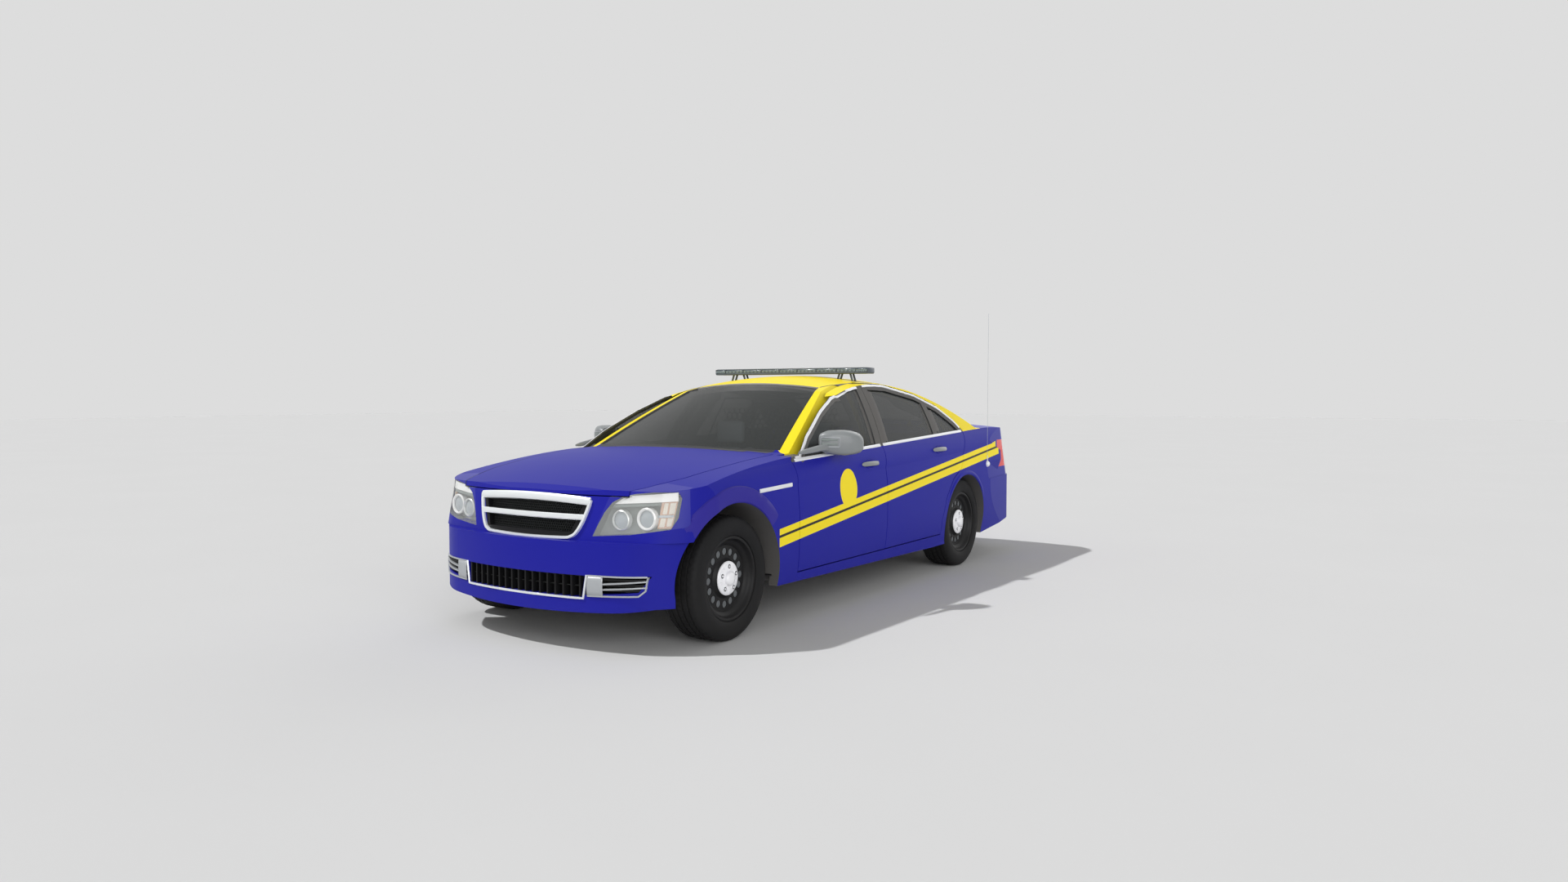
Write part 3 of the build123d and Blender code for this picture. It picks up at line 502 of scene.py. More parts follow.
def painted_livery(name, style, blue, yellow, frame_colour):
    """Body paint that carries the livery; style says what the area above the belt is."""
    _, sheet, shader = new_material(name)
    masks = sheet.group(GROUPS["livery"])
    colour = sheet.mix(masks.outputs["Yellow side"], (*blue, 1), (*yellow, 1))
    colour = sheet.mix(masks.outputs["Middle line"], colour, (0.03, 0.03, 0.04, 1))
    rough = 0.42
    if style == "door":
        above = masks.outputs["Above belt"]
        colour = sheet.mix(above, colour, (*frame_colour, 1))
        rough = sheet.spread(above, 0.0, 1.0, 0.42, 0.5)
    if style == "shell":
        colour = sheet.mix(masks.outputs["Yellow top"], colour, (*yellow, 1))
    wear = sheet.group(GROUPS["wear"], Colour=colour, Patch_scale=1.6, Patch_depth=0.05, Dust=0.04,
                       Roughness=rough)
    sheet.put(shader.inputs["Base Color"], wear.outputs["Colour"])
    sheet.put(shader.inputs["Roughness"], wear.outputs["Roughness"])
    shader.inputs["Specular IOR Level"].default_value = 0.09
    sheet.put(shader.inputs["Normal"], sheet.bump(wear.outputs["Height"], 0.012, 0.0003))


class PaintSettings(bpy.types.PropertyGroup):
    """Colours of the body and its livery."""

    body: bpy.props.FloatVectorProperty(
        name="Body colour", description="Paint of the lower body", subtype="COLOR", size=3,
        default=(0.015, 0.016, 0.32), min=0, max=1)
    top: bpy.props.FloatVectorProperty(
        name="Top colour", description="Paint of the roof, its pillars and the stripes", subtype="COLOR",
        size=3, default=(1.0, 0.80, 0.025), min=0, max=1)
    frames: bpy.props.FloatVectorProperty(
        name="Window frames", description="Satin finish round the door windows", subtype="COLOR", size=3,
        default=(0.115, 0.110, 0.105), min=0, max=1)


class StageSettings(bpy.types.PropertyGroup):
    """Floor, light and camera."""

    backdrop: bpy.props.FloatVectorProperty(
        name="Backdrop", description="Colour behind the car", subtype="COLOR", size=3,
        default=(0.723, 0.723, 0.723), min=0, max=1)
    ambient: bpy.props.FloatProperty(
        name="Ambient light", description="Strength of the even light from all round", default=0.30, min=0)
    key: bpy.props.FloatProperty(
        name="Key light", description="Strength of the lamp that casts the shadow", default=2.1, min=0)
    fill: bpy.props.FloatProperty(
        name="Fill light", description="Strength of the soft lamps round the car", default=2.0, min=0)
    cabin: bpy.props.FloatProperty(
        name="Cabin", description="Power of the soft lamp under the roof", default=9.0, min=0)
    camera_height: bpy.props.FloatProperty(
        name="Camera height", description="Height of the lens over the floor", default=1.3066, unit="LENGTH")
    field: bpy.props.FloatProperty(
        name="Focal length", description="Focal length for a 36 mm wide picture, in millimetres",
        default=24.444)


# Finishes of the nodes on the body; the doors, wheels, mirrors and knuckles get theirs side by side
NODE_FINISHES = {
    "roof_panel": "yellow paint", "floor_pan": "liner", "fender_left": "blue paint",
    "fender_right": "blue paint", "front_bumper": "blue paint", "rear_bumper": "blue paint",
    "hood": "blue paint", "trunk_lid": "blue paint", "side_frame_left": "shell paint",
    "side_frame_right": "shell paint", "rear_bulkhead": "shell paint", "firewall": "black plastic",
    "front_wheelhouses": "liner", "grille": "intake black", "lower_grille": "intake black",
    "headlamps": "clear lens", "tail_lamps": "red lens", "light_bar": "bar grey",
    "antennas": "black plastic", "dashboard": "cabin plastic", "front_seats": "seat cloth",
    "rear_seat": "seat cloth", "partition": "cabin plastic", "engine": "cast iron",
    "radiator": "grille mesh", "front_subframe": "bare steel", "rear_axle": "bare steel",
    "exhaust": "bare steel", "steering_wheel": "cabin plastic", "windshield": "window glass",
    "rear_window": "window glass",
}
# In metres: the reach of a wheel arch and the half width from which its lining lies, the height of the
# underside, the station from which ends face the rear, and the half width from which panels face sideways
ARCH_REACH = 0.45
ARCH_INNER = 0.44
UNDERSIDE = 0.36
MIDDLE_STATION = 1.5
SIDE_FROM = 0.45


class PATROL_OT_materials(bpy.types.Operator):
    """Makes every finish and gives each CAD node its own"""

    bl_idname = "patrol.materials"
    bl_label = "Finishes"

    def execute(self, context):
        paint = context.scene.patrol_paint
        GROUPS["wear"] = make_wear_group()
        GROUPS["livery"] = make_livery_group()
        blue, yellow, frames = tuple(paint.body), tuple(paint.top), tuple(paint.frames)
        painted_livery("blue paint", "plain", blue, yellow, frames)
        painted_livery("door paint", "door", blue, yellow, frames)
        painted_livery("shell paint", "shell", blue, yellow, frames)
        plain_finish("yellow paint", yellow, 0.45, patch_scale=1.6, patch_depth=0.04, dust=0.04,
                     specular=0.09)
        plain_finish("chrome", (0.86, 0.89, 0.90), 0.28, metallic=0.45, patch_depth=0.03, bump=0.0)
        plain_finish("white trim", (0.86, 0.87, 0.90), 0.25, metallic=0.2, patch_depth=0.03, bump=0.0)
        plain_finish("black plastic", (0.018, 0.018, 0.019), 0.48, bump=0.25)
        plain_finish("liner", (0.100, 0.096, 0.094), 0.8, bump=0.4, dust=0.4)
        plain_finish("grille mesh", (0.020, 0.022, 0.022), 0.5, bump=0.1, specular=0.2)
        plain_finish("intake black", (0.006, 0.006, 0.007), 0.5, dust=0.05, specular=0.2)
        plain_finish("frame grey", frames, 0.5, patch_depth=0.05, specular=0.2)
        plain_finish("partition black", (0.020, 0.021, 0.022), 0.5, patch_depth=0.1)
        plain_finish("wheel leather", (0.022, 0.023, 0.024), 0.5, patch_scale=60, patch_depth=0.15, dust=0,
                     bump=0.4)
        plain_finish("dial glass", (0.05, 0.06, 0.07), 0.15, coat=0.5, patch_depth=0.05, dust=0, bump=0)
        plain_finish("tyre rubber", (0.010, 0.010, 0.011), 0.65, patch_scale=12, patch_depth=0.25, dust=0.06,
                     bump=0.35, specular=0.2)
        plain_finish("wheel steel", (0.008, 0.008, 0.009), 0.45, dust=0.06, bump=0.05, specular=0.25)
        plain_finish("bare steel", (0.30, 0.29, 0.28), 0.5, metallic=0.8, patch_scale=14, patch_depth=0.3)
        plain_finish("cast iron", (0.10, 0.10, 0.10), 0.7, metallic=0.5, patch_scale=20, patch_depth=0.3,
                     bump=0.6)
        plain_finish("window glass", (0.046, 0.050, 0.049), 0.06, alpha=0.66, patch_depth=0.02, dust=0.02,
                     bump=0, specular=0.12)
        lens_finish("clear lens", blue)
        plain_finish("red lens", (0.80, 0.022, 0.016), 0.2, patch_depth=0.1, dust=0.03, bump=0, specular=0.25)
        plain_finish("amber lens", (0.70, 0.42, 0.28), 0.2, coat=0.4, patch_depth=0.05, bump=0)
        plain_finish("cream cell", (0.80, 0.73, 0.62), 0.25, coat=0.4, patch_depth=0.05, bump=0)
        plain_finish("lamp bowl", (0.80, 0.82, 0.80), 0.3, metallic=0.35, patch_depth=0.05, bump=0)
        plain_finish("projector glass", (0.40, 0.44, 0.47), 0.12, coat=1.0, patch_depth=0.05, bump=0)
        plain_finish("lamp dark", (0.22, 0.25, 0.24), 0.4, patch_depth=0.05, bump=0)
        plain_finish("lamp housing", (0.36, 0.39, 0.37), 0.4, metallic=0.1, patch_depth=0.05, bump=0)
        plain_finish("cabin plastic", (0.045, 0.046, 0.048), 0.6, bump=0.5, dust=0)
        plain_finish("seat cloth", (0.27, 0.31, 0.33), 0.9, patch_scale=30, patch_depth=0.25, dust=0, bump=0.8)
        plain_finish("mirror grey", (0.235, 0.25, 0.255), 0.35, coat=0.2, patch_depth=0.04)
        plain_finish("module lens", (0.12, 0.155, 0.185), 0.2, coat=0.3, patch_depth=0.08, bump=0)
        plain_finish("diode glass", (0.20, 0.25, 0.28), 0.2, coat=0.3, patch_depth=0.05, bump=0)
        plain_finish("bar grey", (0.075, 0.092, 0.108), 0.4, coat=0.15, bump=0.1)
        plain_finish("cap chrome", (0.97, 0.97, 1.0), 0.28, metallic=0.1, patch_depth=0.02, dust=0.02, bump=0.0)
        # Mid grey for the flat discs over the hub caps' lug recesses: painted shade in the recesses
        plain_finish("recess grey", (0.14, 0.14, 0.15), 0.5, bump=0.1)
        plain_finish("hole backing", (0.13, 0.14, 0.15), 0.5, patch_scale=40, patch_depth=0.2)
        # A lighter, redder blue than the body paint: a painted highlight on the front arch flare, whose real
        # paint is the body's blue
        plain_finish("flare paint", (0.038, 0.030, 0.30), 0.45, patch_scale=1.6, patch_depth=0.04, dust=0.04,
                     specular=0.09)
        plain_finish("silver plastic", (0.44, 0.46, 0.48), 0.35, metallic=0.3, patch_depth=0.05, bump=0.02)
        plain_finish("halo", (0.95, 0.95, 0.94), 0.25, coat=1.0, patch_depth=0.02, dust=0, bump=0)
        plain_finish("antenna grey", (0.42, 0.46, 0.50), 0.35, metallic=0.2, patch_depth=0.05)
        plain_finish("mirror silver", (0.80, 0.82, 0.83), 0.04, metallic=1.0, patch_depth=0.02, dust=0.02,
                     bump=0)
        plain_finish("headliner", (0.34, 0.33, 0.32), 0.9, patch_scale=30, patch_depth=0.1, dust=0, bump=0.5)
        finish = dict(NODE_FINISHES)
        for side, _ in SIDES:
            for kind in ("front", "rear"):
                finish[f"{kind}_door_{side}"] = "door paint"
                finish[f"{kind}_glass_{side}"] = "window glass"
                finish[f"tyre_{kind}_{side}"] = "tyre rubber"
                finish[f"rim_{kind}_{side}"] = "wheel steel"
            finish[f"mirror_{side}"] = "mirror grey"
            finish[f"knuckle_{side}"] = "bare steel"
        for name, node in NODES.items():
            mesh = node.data
            mesh.materials.clear()
            mesh.materials.append(MATERIALS[finish.get(name, "black plastic")])
            mesh.shade_smooth()
            mesh.set_sharp_from_angle(angle=radians(28))
        for side, _ in SIDES:
            paint_inside(f"side_frame_{side}", "liner")
            paint_inside(f"fender_{side}", "liner")
            for kind in ("front", "rear"):
                paint_inside(f"{kind}_door_{side}", "cabin plastic")
                paint_where(f"{kind}_door_{side}", "yellow paint",
                            lambda face: face.normal.z > 0.85 and face.center.z > 1.12)
        for name in ("front_bumper", "rear_bumper"):
            paint_inside(name, "black plastic")
        paint_where("roof_panel", "headliner", lambda face: face.normal.z < 0.1)
        paint_where("headlamps", "lamp housing", lambda face: face.normal.y > -0.05)
        paint_where("rear_bulkhead", "liner", lambda face: face.center.z < 0.985 or face.normal.z < 0)
        return {"FINISHED"}


def paint_where(name, finish, chosen):
    """Gives the faces of a node that a test chooses another finish."""
    mesh = NODES[name].data
    mesh.materials.append(MATERIALS[finish])
    for face in mesh.polygons:
        if chosen(face):
            face.material_index = len(mesh.materials) - 1


def paint_inside(name, finish):
    """Gives a panel's inner faces, the faces in its wheel arch and its underside another finish."""
    mesh = NODES[name].data
    mesh.materials.append(MATERIALS[finish])
    for face in mesh.polygons:
        centre = face.center
        normal = face.normal
        station = centre.y - AXLE_Y
        inner = centre.z < UNDERSIDE and normal.z < -0.7
        outward = Vector((centre.x, 0, 0)).normalized() if abs(centre.x) > SIDE_FROM else Vector((0, 0, 1))
        for hub in (0.0, WHEELBASE):
            reach = hypot(station - hub, centre.z - WHEEL_Z)
            toward = Vector((0, station - hub, centre.z - WHEEL_Z)).normalized()
            if reach < ARCH_REACH and abs(centre.x) > ARCH_INNER and normal.dot(toward) < -0.6:
                inner = True
        end = Vector((0, 1 if station > MIDDLE_STATION else -1, 0))
        faces_out = normal.dot(outward) > 0.15 or normal.z > 0.3 or normal.dot(end) > 0.5
        if name.startswith("side_frame") and abs(centre.x) < 0.60 and centre.z < 0.9:
            faces_out = False
        if not faces_out or inner:
            face.material_index = 1


# Directions toward the lamps; the camera's place as (half width, station) in mm, and where it looks in radians
KEY_TOWARD = (-0.478, -0.376, 0.794)
FILL_TOWARD = (0.80, -0.58, 0.14)
REAR_TOWARD = (-0.10, 0.98, 0.16)
REAR_SHARE = 0.4
CAMERA_PLACE = (4157.4, -4547.5)
CAMERA_YAW = 2.1449418
CAMERA_PITCH = -0.0435214
FLOOR_HALF = 60.0
CABIN_LAMP_PLACE = (0, 1250, 1190)


class PATROL_OT_stage(bpy.types.Operator):
    """Makes the floor, the light and the camera"""

    bl_idname = "patrol.stage"
    bl_label = "Floor, light and camera"

    def execute(self, context):
        stage = context.scene.patrol_stage
        scene = context.scene
        scene.view_settings.view_transform = "Standard"
        self.add_floor(scene)
        self.add_world(scene, stage)
        self.add_sun("key", Vector(KEY_TOWARD), stage.key, 1.5)
        self.add_sun("fill", Vector(FILL_TOWARD), stage.fill, 60.0)
        self.add_cabin_lamp(stage.cabin)
        self.add_sun("rear fill", Vector(REAR_TOWARD), stage.fill * REAR_SHARE, 60.0)
        self.add_camera(scene, stage)
        return {"FINISHED"}

    def add_floor(self, scene):
        """A wide pale floor."""
        mesh = bpy.data.meshes.new("floor")
        corners = [(-1, -1), (1, -1), (1, 1), (-1, 1)]
        mesh.from_pydata([(x * FLOOR_HALF, y * FLOOR_HALF, 0) for x, y in corners], [], [(0, 1, 2, 3)])
        floor = bpy.data.objects.new("floor", mesh)
        scene.collection.objects.link(floor)
        material, sheet, shader = new_material("floor")
        mottle = sheet.noise(sheet.place(), 0.6, 3.0)
        sheet.put(shader.inputs["Base Color"], sheet.mix(sheet.spread(mottle, 0.3, 0.7), (0.70, 0.70, 0.70, 1),
                                                         (0.71, 0.71, 0.71, 1)))
        shader.inputs["Roughness"].default_value = 1.0
        shader.inputs["Specular IOR Level"].default_value = 0.0
        mesh.materials.append(material)

    def add_world(self, scene, stage):
        """Even light from all round; the camera, gloss and glass see the plain backdrop instead."""
        world = bpy.data.worlds.new("studio")
        scene.world = world
        world.use_nodes = True
        tree = Sheet(world.node_tree)
        back = world.node_tree.nodes["Background"]
        path = tree.node("ShaderNodeLightPath")
        seen = tree.math("MAXIMUM", path.outputs["Is Camera Ray"], path.outputs["Is Transmission Ray"])
        seen = tree.math("MAXIMUM", seen, path.outputs["Is Glossy Ray"])
        tree.put(back.inputs["Color"], tree.mix(seen, (1, 1, 1, 1), (*stage.backdrop, 1)))
        tree.put(back.inputs["Strength"], tree.spread(seen, 0.0, 1.0, stage.ambient, 1.0))

    def add_camera(self, scene, stage):
        """The camera at the picture's place."""
        data = bpy.data.cameras.new("camera")
        data.sensor_width = 36.0
        data.lens = stage.field
        data.clip_end = 500.0
        camera = bpy.data.objects.new("camera", data)
        scene.collection.objects.link(camera)
        scene.camera = camera
        camera.location = at(*CAMERA_PLACE, stage.camera_height * 1000)
        level = cos(CAMERA_PITCH)
        look = Vector((cos(CAMERA_YAW) * level, sin(CAMERA_YAW) * level, sin(CAMERA_PITCH)))
        camera.rotation_euler = look.to_track_quat("-Z", "Y").to_euler()

    def add_cabin_lamp(self, strength):
        """A soft lamp under the roof, so that the cabin can be seen through the dark glass."""
        data = bpy.data.lights.new("cabin", "POINT")
        data.energy = strength
        data.shadow_soft_size = 0.15
        lamp = bpy.data.objects.new("cabin", data)
        bpy.context.scene.collection.objects.link(lamp)
        lamp.location = at(*CABIN_LAMP_PLACE)
        lamp.visible_glossy = False

    def add_sun(self, name, toward, strength, spread):
        """A lamp far away in one direction."""
        data = bpy.data.lights.new(name, "SUN")
        data.energy = strength
        data.angle = radians(spread)
        lamp = bpy.data.objects.new(name, data)
        bpy.context.scene.collection.objects.link(lamp)
        lamp.rotation_euler = (-toward).to_track_quat("-Z", "Y").to_euler()


# Wheels

TYRE_PROFILE = [
    (-94, 226), (-104, 229), (-110, 240), (-112.6, 262), (-112.8, 280), (-110, 300), (-104, 316), (-95, 326),
    (-88, 330.5), (-80, 332.6), (-62, 333.4), (-60, 326), (-54, 326), (-52, 333.6), (-26, 334), (-24, 326),
    (-16, 326), (-14, 334), (14, 334), (16, 326), (24, 326), (26, 334), (52, 333.6), (54, 326), (60, 326),
    (62, 333.4), (80, 332.6), (88, 330.5), (95, 326), (104, 316), (110, 300), (112.8, 280), (112.6, 262),
    (110, 240), (104, 229), (94, 226),
]
# Steps round the tread, of which every fourth has a sipe, with its depth and the width of a step sideways in mm
TREAD_STEPS = 216
SIPE_EVERY = 4
SIPE_DEPTH = 4.5
SIPE_SLANT = 14


def tyre_mesh(centre):
    """A road tyre with circumferential grooves and slanted sipes across its ribs."""
    verts = []
    for x, radius in TYRE_PROFILE:
        for k in range(TREAD_STEPS):
            slant = round(abs(x) / SIPE_SLANT)
            cut = radius > 330 and (k + slant) % SIPE_EVERY == 0 and abs(x) > 13
            r = radius - SIPE_DEPTH if cut else radius
            angle = tau * k / TREAD_STEPS
            verts.append(Vector(centre) + Vector((x, r * cos(angle), r * sin(angle))) / 1000)
    ring = axle_ring([(-94, 226), (-94, 222), (94, 222), (94, 226)], 96, centre)
    return joined((verts, quads(len(TYRE_PROFILE), TREAD_STEPS, flip=True)), ring)


def axle_ring(profile, segments, centre):
    """A surface turned about the wheel's axle from millimetre points."""
    return turned([(x / 1000, r / 1000) for x, r in profile], segments, centre)


# The steel wheel's vent holes, their circle and size, and the band of the disc that they lie in, in metres
HOLES = 16
HOLE_CIRCLE = 0.141
HOLE_RADIUS = 0.0195
DISC_BAND = (0.108, 0.174)
LUGS = 5
LUG_CIRCLE = 0.064
STUD_CIRCLE = 0.068


def wheel_disc(centre):
    """The pressed disc of a steel wheel with its ring of round holes, each with a rolled lip."""
    low, high = DISC_BAND
    half = pi / HOLES
    per_side = 6
    steps = [k / per_side for k in range(per_side)]
    # The border of one hole's sector as (radius, angle), anticlockwise
    border = [(low, -half + 2 * half * t) for t in steps]
    border += [(low + (high - low) * t, half) for t in steps]
    border += [(high, half - 2 * half * t) for t in steps]
    border += [(high - (high - low) * t, -half) for t in steps]
    # Rings from the border to the lip, and down through the hole
    lip = HOLE_RADIUS * 1.16
    rings = []
    for share in (0.0, 0.45, 0.78):
        rings.append((0.0565, lambda reach, share=share: lip + (reach - lip) * (1 - share)))
    for x, scale in ((0.0580, 1.12), (0.0572, 1.0), (0.0500, 0.97), (0.0440, 0.97)):
        rings.append((x, lambda reach, scale=scale: HOLE_RADIUS * scale))
    sectors = []
    for index in range(HOLES):
        turn = tau * index / HOLES
        verts = []
        for x, radius_at in rings:
            for radius, angle in border:
                du, dv = radius * cos(angle) - HOLE_CIRCLE, radius * sin(angle)
                reach = hypot(du, dv)
                u, v = HOLE_CIRCLE + du / reach * radius_at(reach), dv / reach * radius_at(reach)
                place = Vector((x, u * cos(turn) - v * sin(turn), u * sin(turn) + v * cos(turn)))
                verts.append(Vector(centre) + place)
        sectors.append((verts, quads(len(rings), len(border))))
    return joined(*sectors)


def rim_mesh(centre):
    """Barrel, dished disc and hub of a steel wheel."""
    front = axle_ring([(92, 226), (99, 225), (100, 220), (98, 212), (90, 206), (80, 203), (74, 196), (70, 186),
                         (64, 179), (56.5, 174)], 96, centre)
    hub = axle_ring([(56.5, 108), (60, 103), (68, 96), (74, 92), (75, 86), (74, 60), (74, 0.1)], 96, centre)
    back = axle_ring([(92, 226), (-92, 226), (-99, 225), (-100, 219), (-96, 210), (-84, 204), (-60, 201),
                        (20, 198), (40, 190), (46, 174), (44, 108), (60, 92), (60, 26)], 96, centre)
    return joined(front, hub, back, wheel_disc(centre))


def lug_place(centre, radius, index):
    """The centre of a lug on its circle, counted from the top."""
    angle = tau * index / LUGS + pi / 2
    return Vector(centre) + Vector((0, radius * cos(angle), radius * sin(angle)))


def cap_mesh(centre):
    """The bright hub cap: a flanged dome with five lug recesses and five small studs between them."""
    parts = [axle_ring([(74, 91), (77, 91.5), (80, 90), (82, 86), (84, 80), (85.5, 60), (86, 42), (90, 40),
                          (99, 38), (104, 33), (106.5, 22), (107.5, 8), (107.6, 0.1)], 80, centre)]
    for k in range(LUGS):
        place = lug_place(centre, LUG_CIRCLE, k)
        parts.append(axle_ring([(84, 13), (87.5, 13), (88.5, 12), (88.5, 10.6), (86, 9.8)], 24, place))
        parts.append(axle_ring([(85, 6.8), (91, 6.4), (92.5, 5), (93, 0.1)], 6, place))
        place = lug_place(centre, STUD_CIRCLE, k + 0.5)
        parts.append(axle_ring([(84, 6), (87, 5.5), (88, 3.5), (88.4, 0.1)], 16, place))
    return joined(*parts)


class PATROL_OT_wheels(bpy.types.Operator):
    """Makes the four tyres with tread, the holed steel wheels and their bright caps"""

    bl_idname = "patrol.wheels"
    bl_label = "Wheels"

    def execute(self, context):
        for axle, station in (("front", 0.0), ("rear", WHEELBASE)):
            centre = (WHEEL_X, AXLE_Y + station, WHEEL_Z)
            for side, sign in SIDES:
                body = f"wheel_{axle}_{side}"
                tyre = add_piece(f"road_tyre_{axle}_{side}", *tyre_mesh(centre), "tyre rubber", body,
                                 "tyre", side=sign)
                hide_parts(f"tyre_{axle}_{side}")
                rim = add_piece(f"steel_wheel_{axle}_{side}", *rim_mesh(centre), "wheel steel", body,
                                "wheel_steel", side=sign)
                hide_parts(f"rim_{axle}_{side}")
                add_piece(f"hub_cap_{axle}_{side}", *cap_mesh(centre), "cap chrome", body, "chrome",
                          side=sign)
                # Flat grey discs laid over the lug recesses paint in the shade that falls in them
                recess_shade_discs = [axle_ring([(86, 12.2), (88.9, 12), (89.1, 0.1)], 24, lug_place(centre, LUG_CIRCLE, k))
                        for k in range(LUGS)]
                add_piece(f"lug_recess_shade_{axle}_{side}", *joined(*recess_shade_discs), "recess grey", body, "chrome",
                          side=sign)
                plate = [(50, 171), (53, 171), (53, 111), (50, 111)]
                add_piece(f"hole_backing_{axle}_{side}", *axle_ring(plate, 64, centre), "hole backing",
                          body, "steel", side=sign)
        return {"FINISHED"}


# Trim on the outside skin

# First and last station of each door's window surround, and of the border along the windscreen pillar, in mm
WINDOW_SPANS = {"front": (650, 1758), "rear": (1842, 3006)}
PILLAR_SPAN = (700, 1470)
# Grey bands that cover the edges of the glass along the door pillars: (station, height) ends and half width
GLASS_BANDS = {
    "front": [([(1620, 984), (1734, 1332)], 0.018)],
    "rear": [([(1812, 996), (1916, 1330)], 0.024), ([(2516, 1026), (2556, 1238)], 0.014),
             ([(2636, 1036), (2654, 1192)], 0.032)],
}
# Belt mouldings and the fender strip: (station, height)
FRONT_BELT = [(632, 927), (1690, 973)]
REAR_BELT = [(1712, 974), (3010, 1029)]
FENDER_STRIP = [(214, 783), (540, 796)]
# (half width, station) down the roof's side
ROOF_CHANNEL = [(508, 1532), (533, 1660), (561, 1800), (561, 2400), (531, 2545), (502, 2686)]
# Bands round the wheel openings: (radius, lift) in mm
FRONT_FLARE = [(406, -3), (407, 6), (414, 9), (462, 9), (486, 7), (494, -1)]
REAR_LIP = [(366, -3), (367, 4), (374, 6), (388, 5), (398, -1)]
# Station and height of each door handle, and their length
HANDLE_PLACES = {"front": (1476, 862), "rear": (2534, 909)}
HANDLE_LENGTH = 210
TRIM_HALF = 0.009


def laid_on(reader, tree, corners, step=30.0):
    """Points and normals of a skin along corners in mm; reader is on_side, on_front or on_top."""
    places = []
    for (a0, b0), (a1, b1) in zip(corners, corners[1:]):
        count = max(1, round(hypot(a1 - a0, b1 - b0) / step))
        places += [(a0 + (a1 - a0) * k / count, b0 + (b1 - b0) * k / count) for k in range(count)]
    places.append(corners[-1])
    hits = [reader(tree, a, b) for a, b in places]
    return [hit for hit, _ in hits], [normal for _, normal in hits]


def top_edge_path(tree, first, last, inset=8.0, step=26.0):
    """Points and normals just inside the upper edge of a door's outer face, station by station, in mm."""
    count = round((last - first) / step)
    points = []
    normals = []
    for k in range(count + 1):
        station = first + (last - first) * k / count
        aim = at(300, station, 900)
        for tick in range(0, 361):
            angle = radians(88 - tick * 0.25)
            away = Vector((cos(angle), 0, sin(angle)))
            hit, normal, _, _ = tree.ray_cast(aim + away * 1.6, -away)
            if hit is None or (hit - aim).dot(away) < 0.25:
                continue
            normal = normal if normal.dot(away) > 0 else -normal
            if normal.x < 0.5:
                continue
            angle -= inset / 1000 / (hit - aim).length
            away = Vector((cos(angle), 0, sin(angle)))
            hit, normal, _, _ = tree.ray_cast(aim + away * 1.6, -away)
            if hit is not None:
                points.append(hit)
                normals.append(normal if normal.dot(away) > 0 else -normal)
            break
    return points, normals


def handle_mesh(tree, station, z, length):
    """A pull handle standing off the door over a shallow oval dish."""
    middle, normal = on_side(tree, station, z)
    back, _ = on_side(tree, station + 50, z)
    along = (back - middle).normalized()
    up = normal.cross(along).normalized()
    if up.z < 0:
        up = -up
    half = length / 2000
    dish = []
    count = 32
    for lift, scale in ((0.0005, 1.0), (0.004, 0.96), (0.004, 0.86), (0.0012, 0.62), (0.0008, 0.0)):
        dish.append([middle + along * (cos(tau * k / count) * half * 0.62 * scale)
                     + up * (sin(tau * k / count) * 0.030 * scale) + normal * lift for k in range(count)])
    verts = [p for ring in dish for p in ring]
    bar_verts = []
    steps = 20
    ring = 10
    for i in range(steps + 1):
        t = i / steps
        place = middle + along * ((t - 0.5) * 2 * half)
        arch = sin(pi * t) ** 0.45
        centre = place + normal * (0.004 + 0.017 * arch)
        width = 0.0150 * (0.80 + 0.20 * arch) * (1 if 0 < i < steps else 0.45)
        depth = 0.0070 * (0.7 + 0.3 * arch) * (1 if 0 < i < steps else 0.35)
        for k in range(ring):
            a = tau * k / ring
            bar_verts.append(centre + up * (cos(a) * width) + normal * (sin(a) * depth))
    bar_faces = quads(steps + 1, ring)
    bar_faces.append(tuple(range(ring)))
    bar_faces.append(tuple(reversed(range(steps * ring, (steps + 1) * ring))))
    return (verts, quads(len(dish), count)), (bar_verts, bar_faces)


def arch_flare(tree, hub_station, rings, first, last, steps):
    """A raised band round a wheel opening that fades at its ends: rings are (radius, lift), in mm."""
    verts = []
    for k in range(steps + 1):
        share = k / steps
        angle = radians(first + (last - first) * share)
        fade = min(1.0, share / 0.22, (1 - share) / 0.22)
        fade = fade * fade * (3 - 2 * fade)
        for radius, lift in rings:
            hit, normal = on_side(tree, hub_station - radius * cos(angle), WHEEL_Z * 1000 + radius * sin(angle))
            verts.append(hit + normal * ((lift * fade - 0.6 * (1 - fade)) / 1000))
    return verts, quads(steps + 1, len(rings), loop=False)


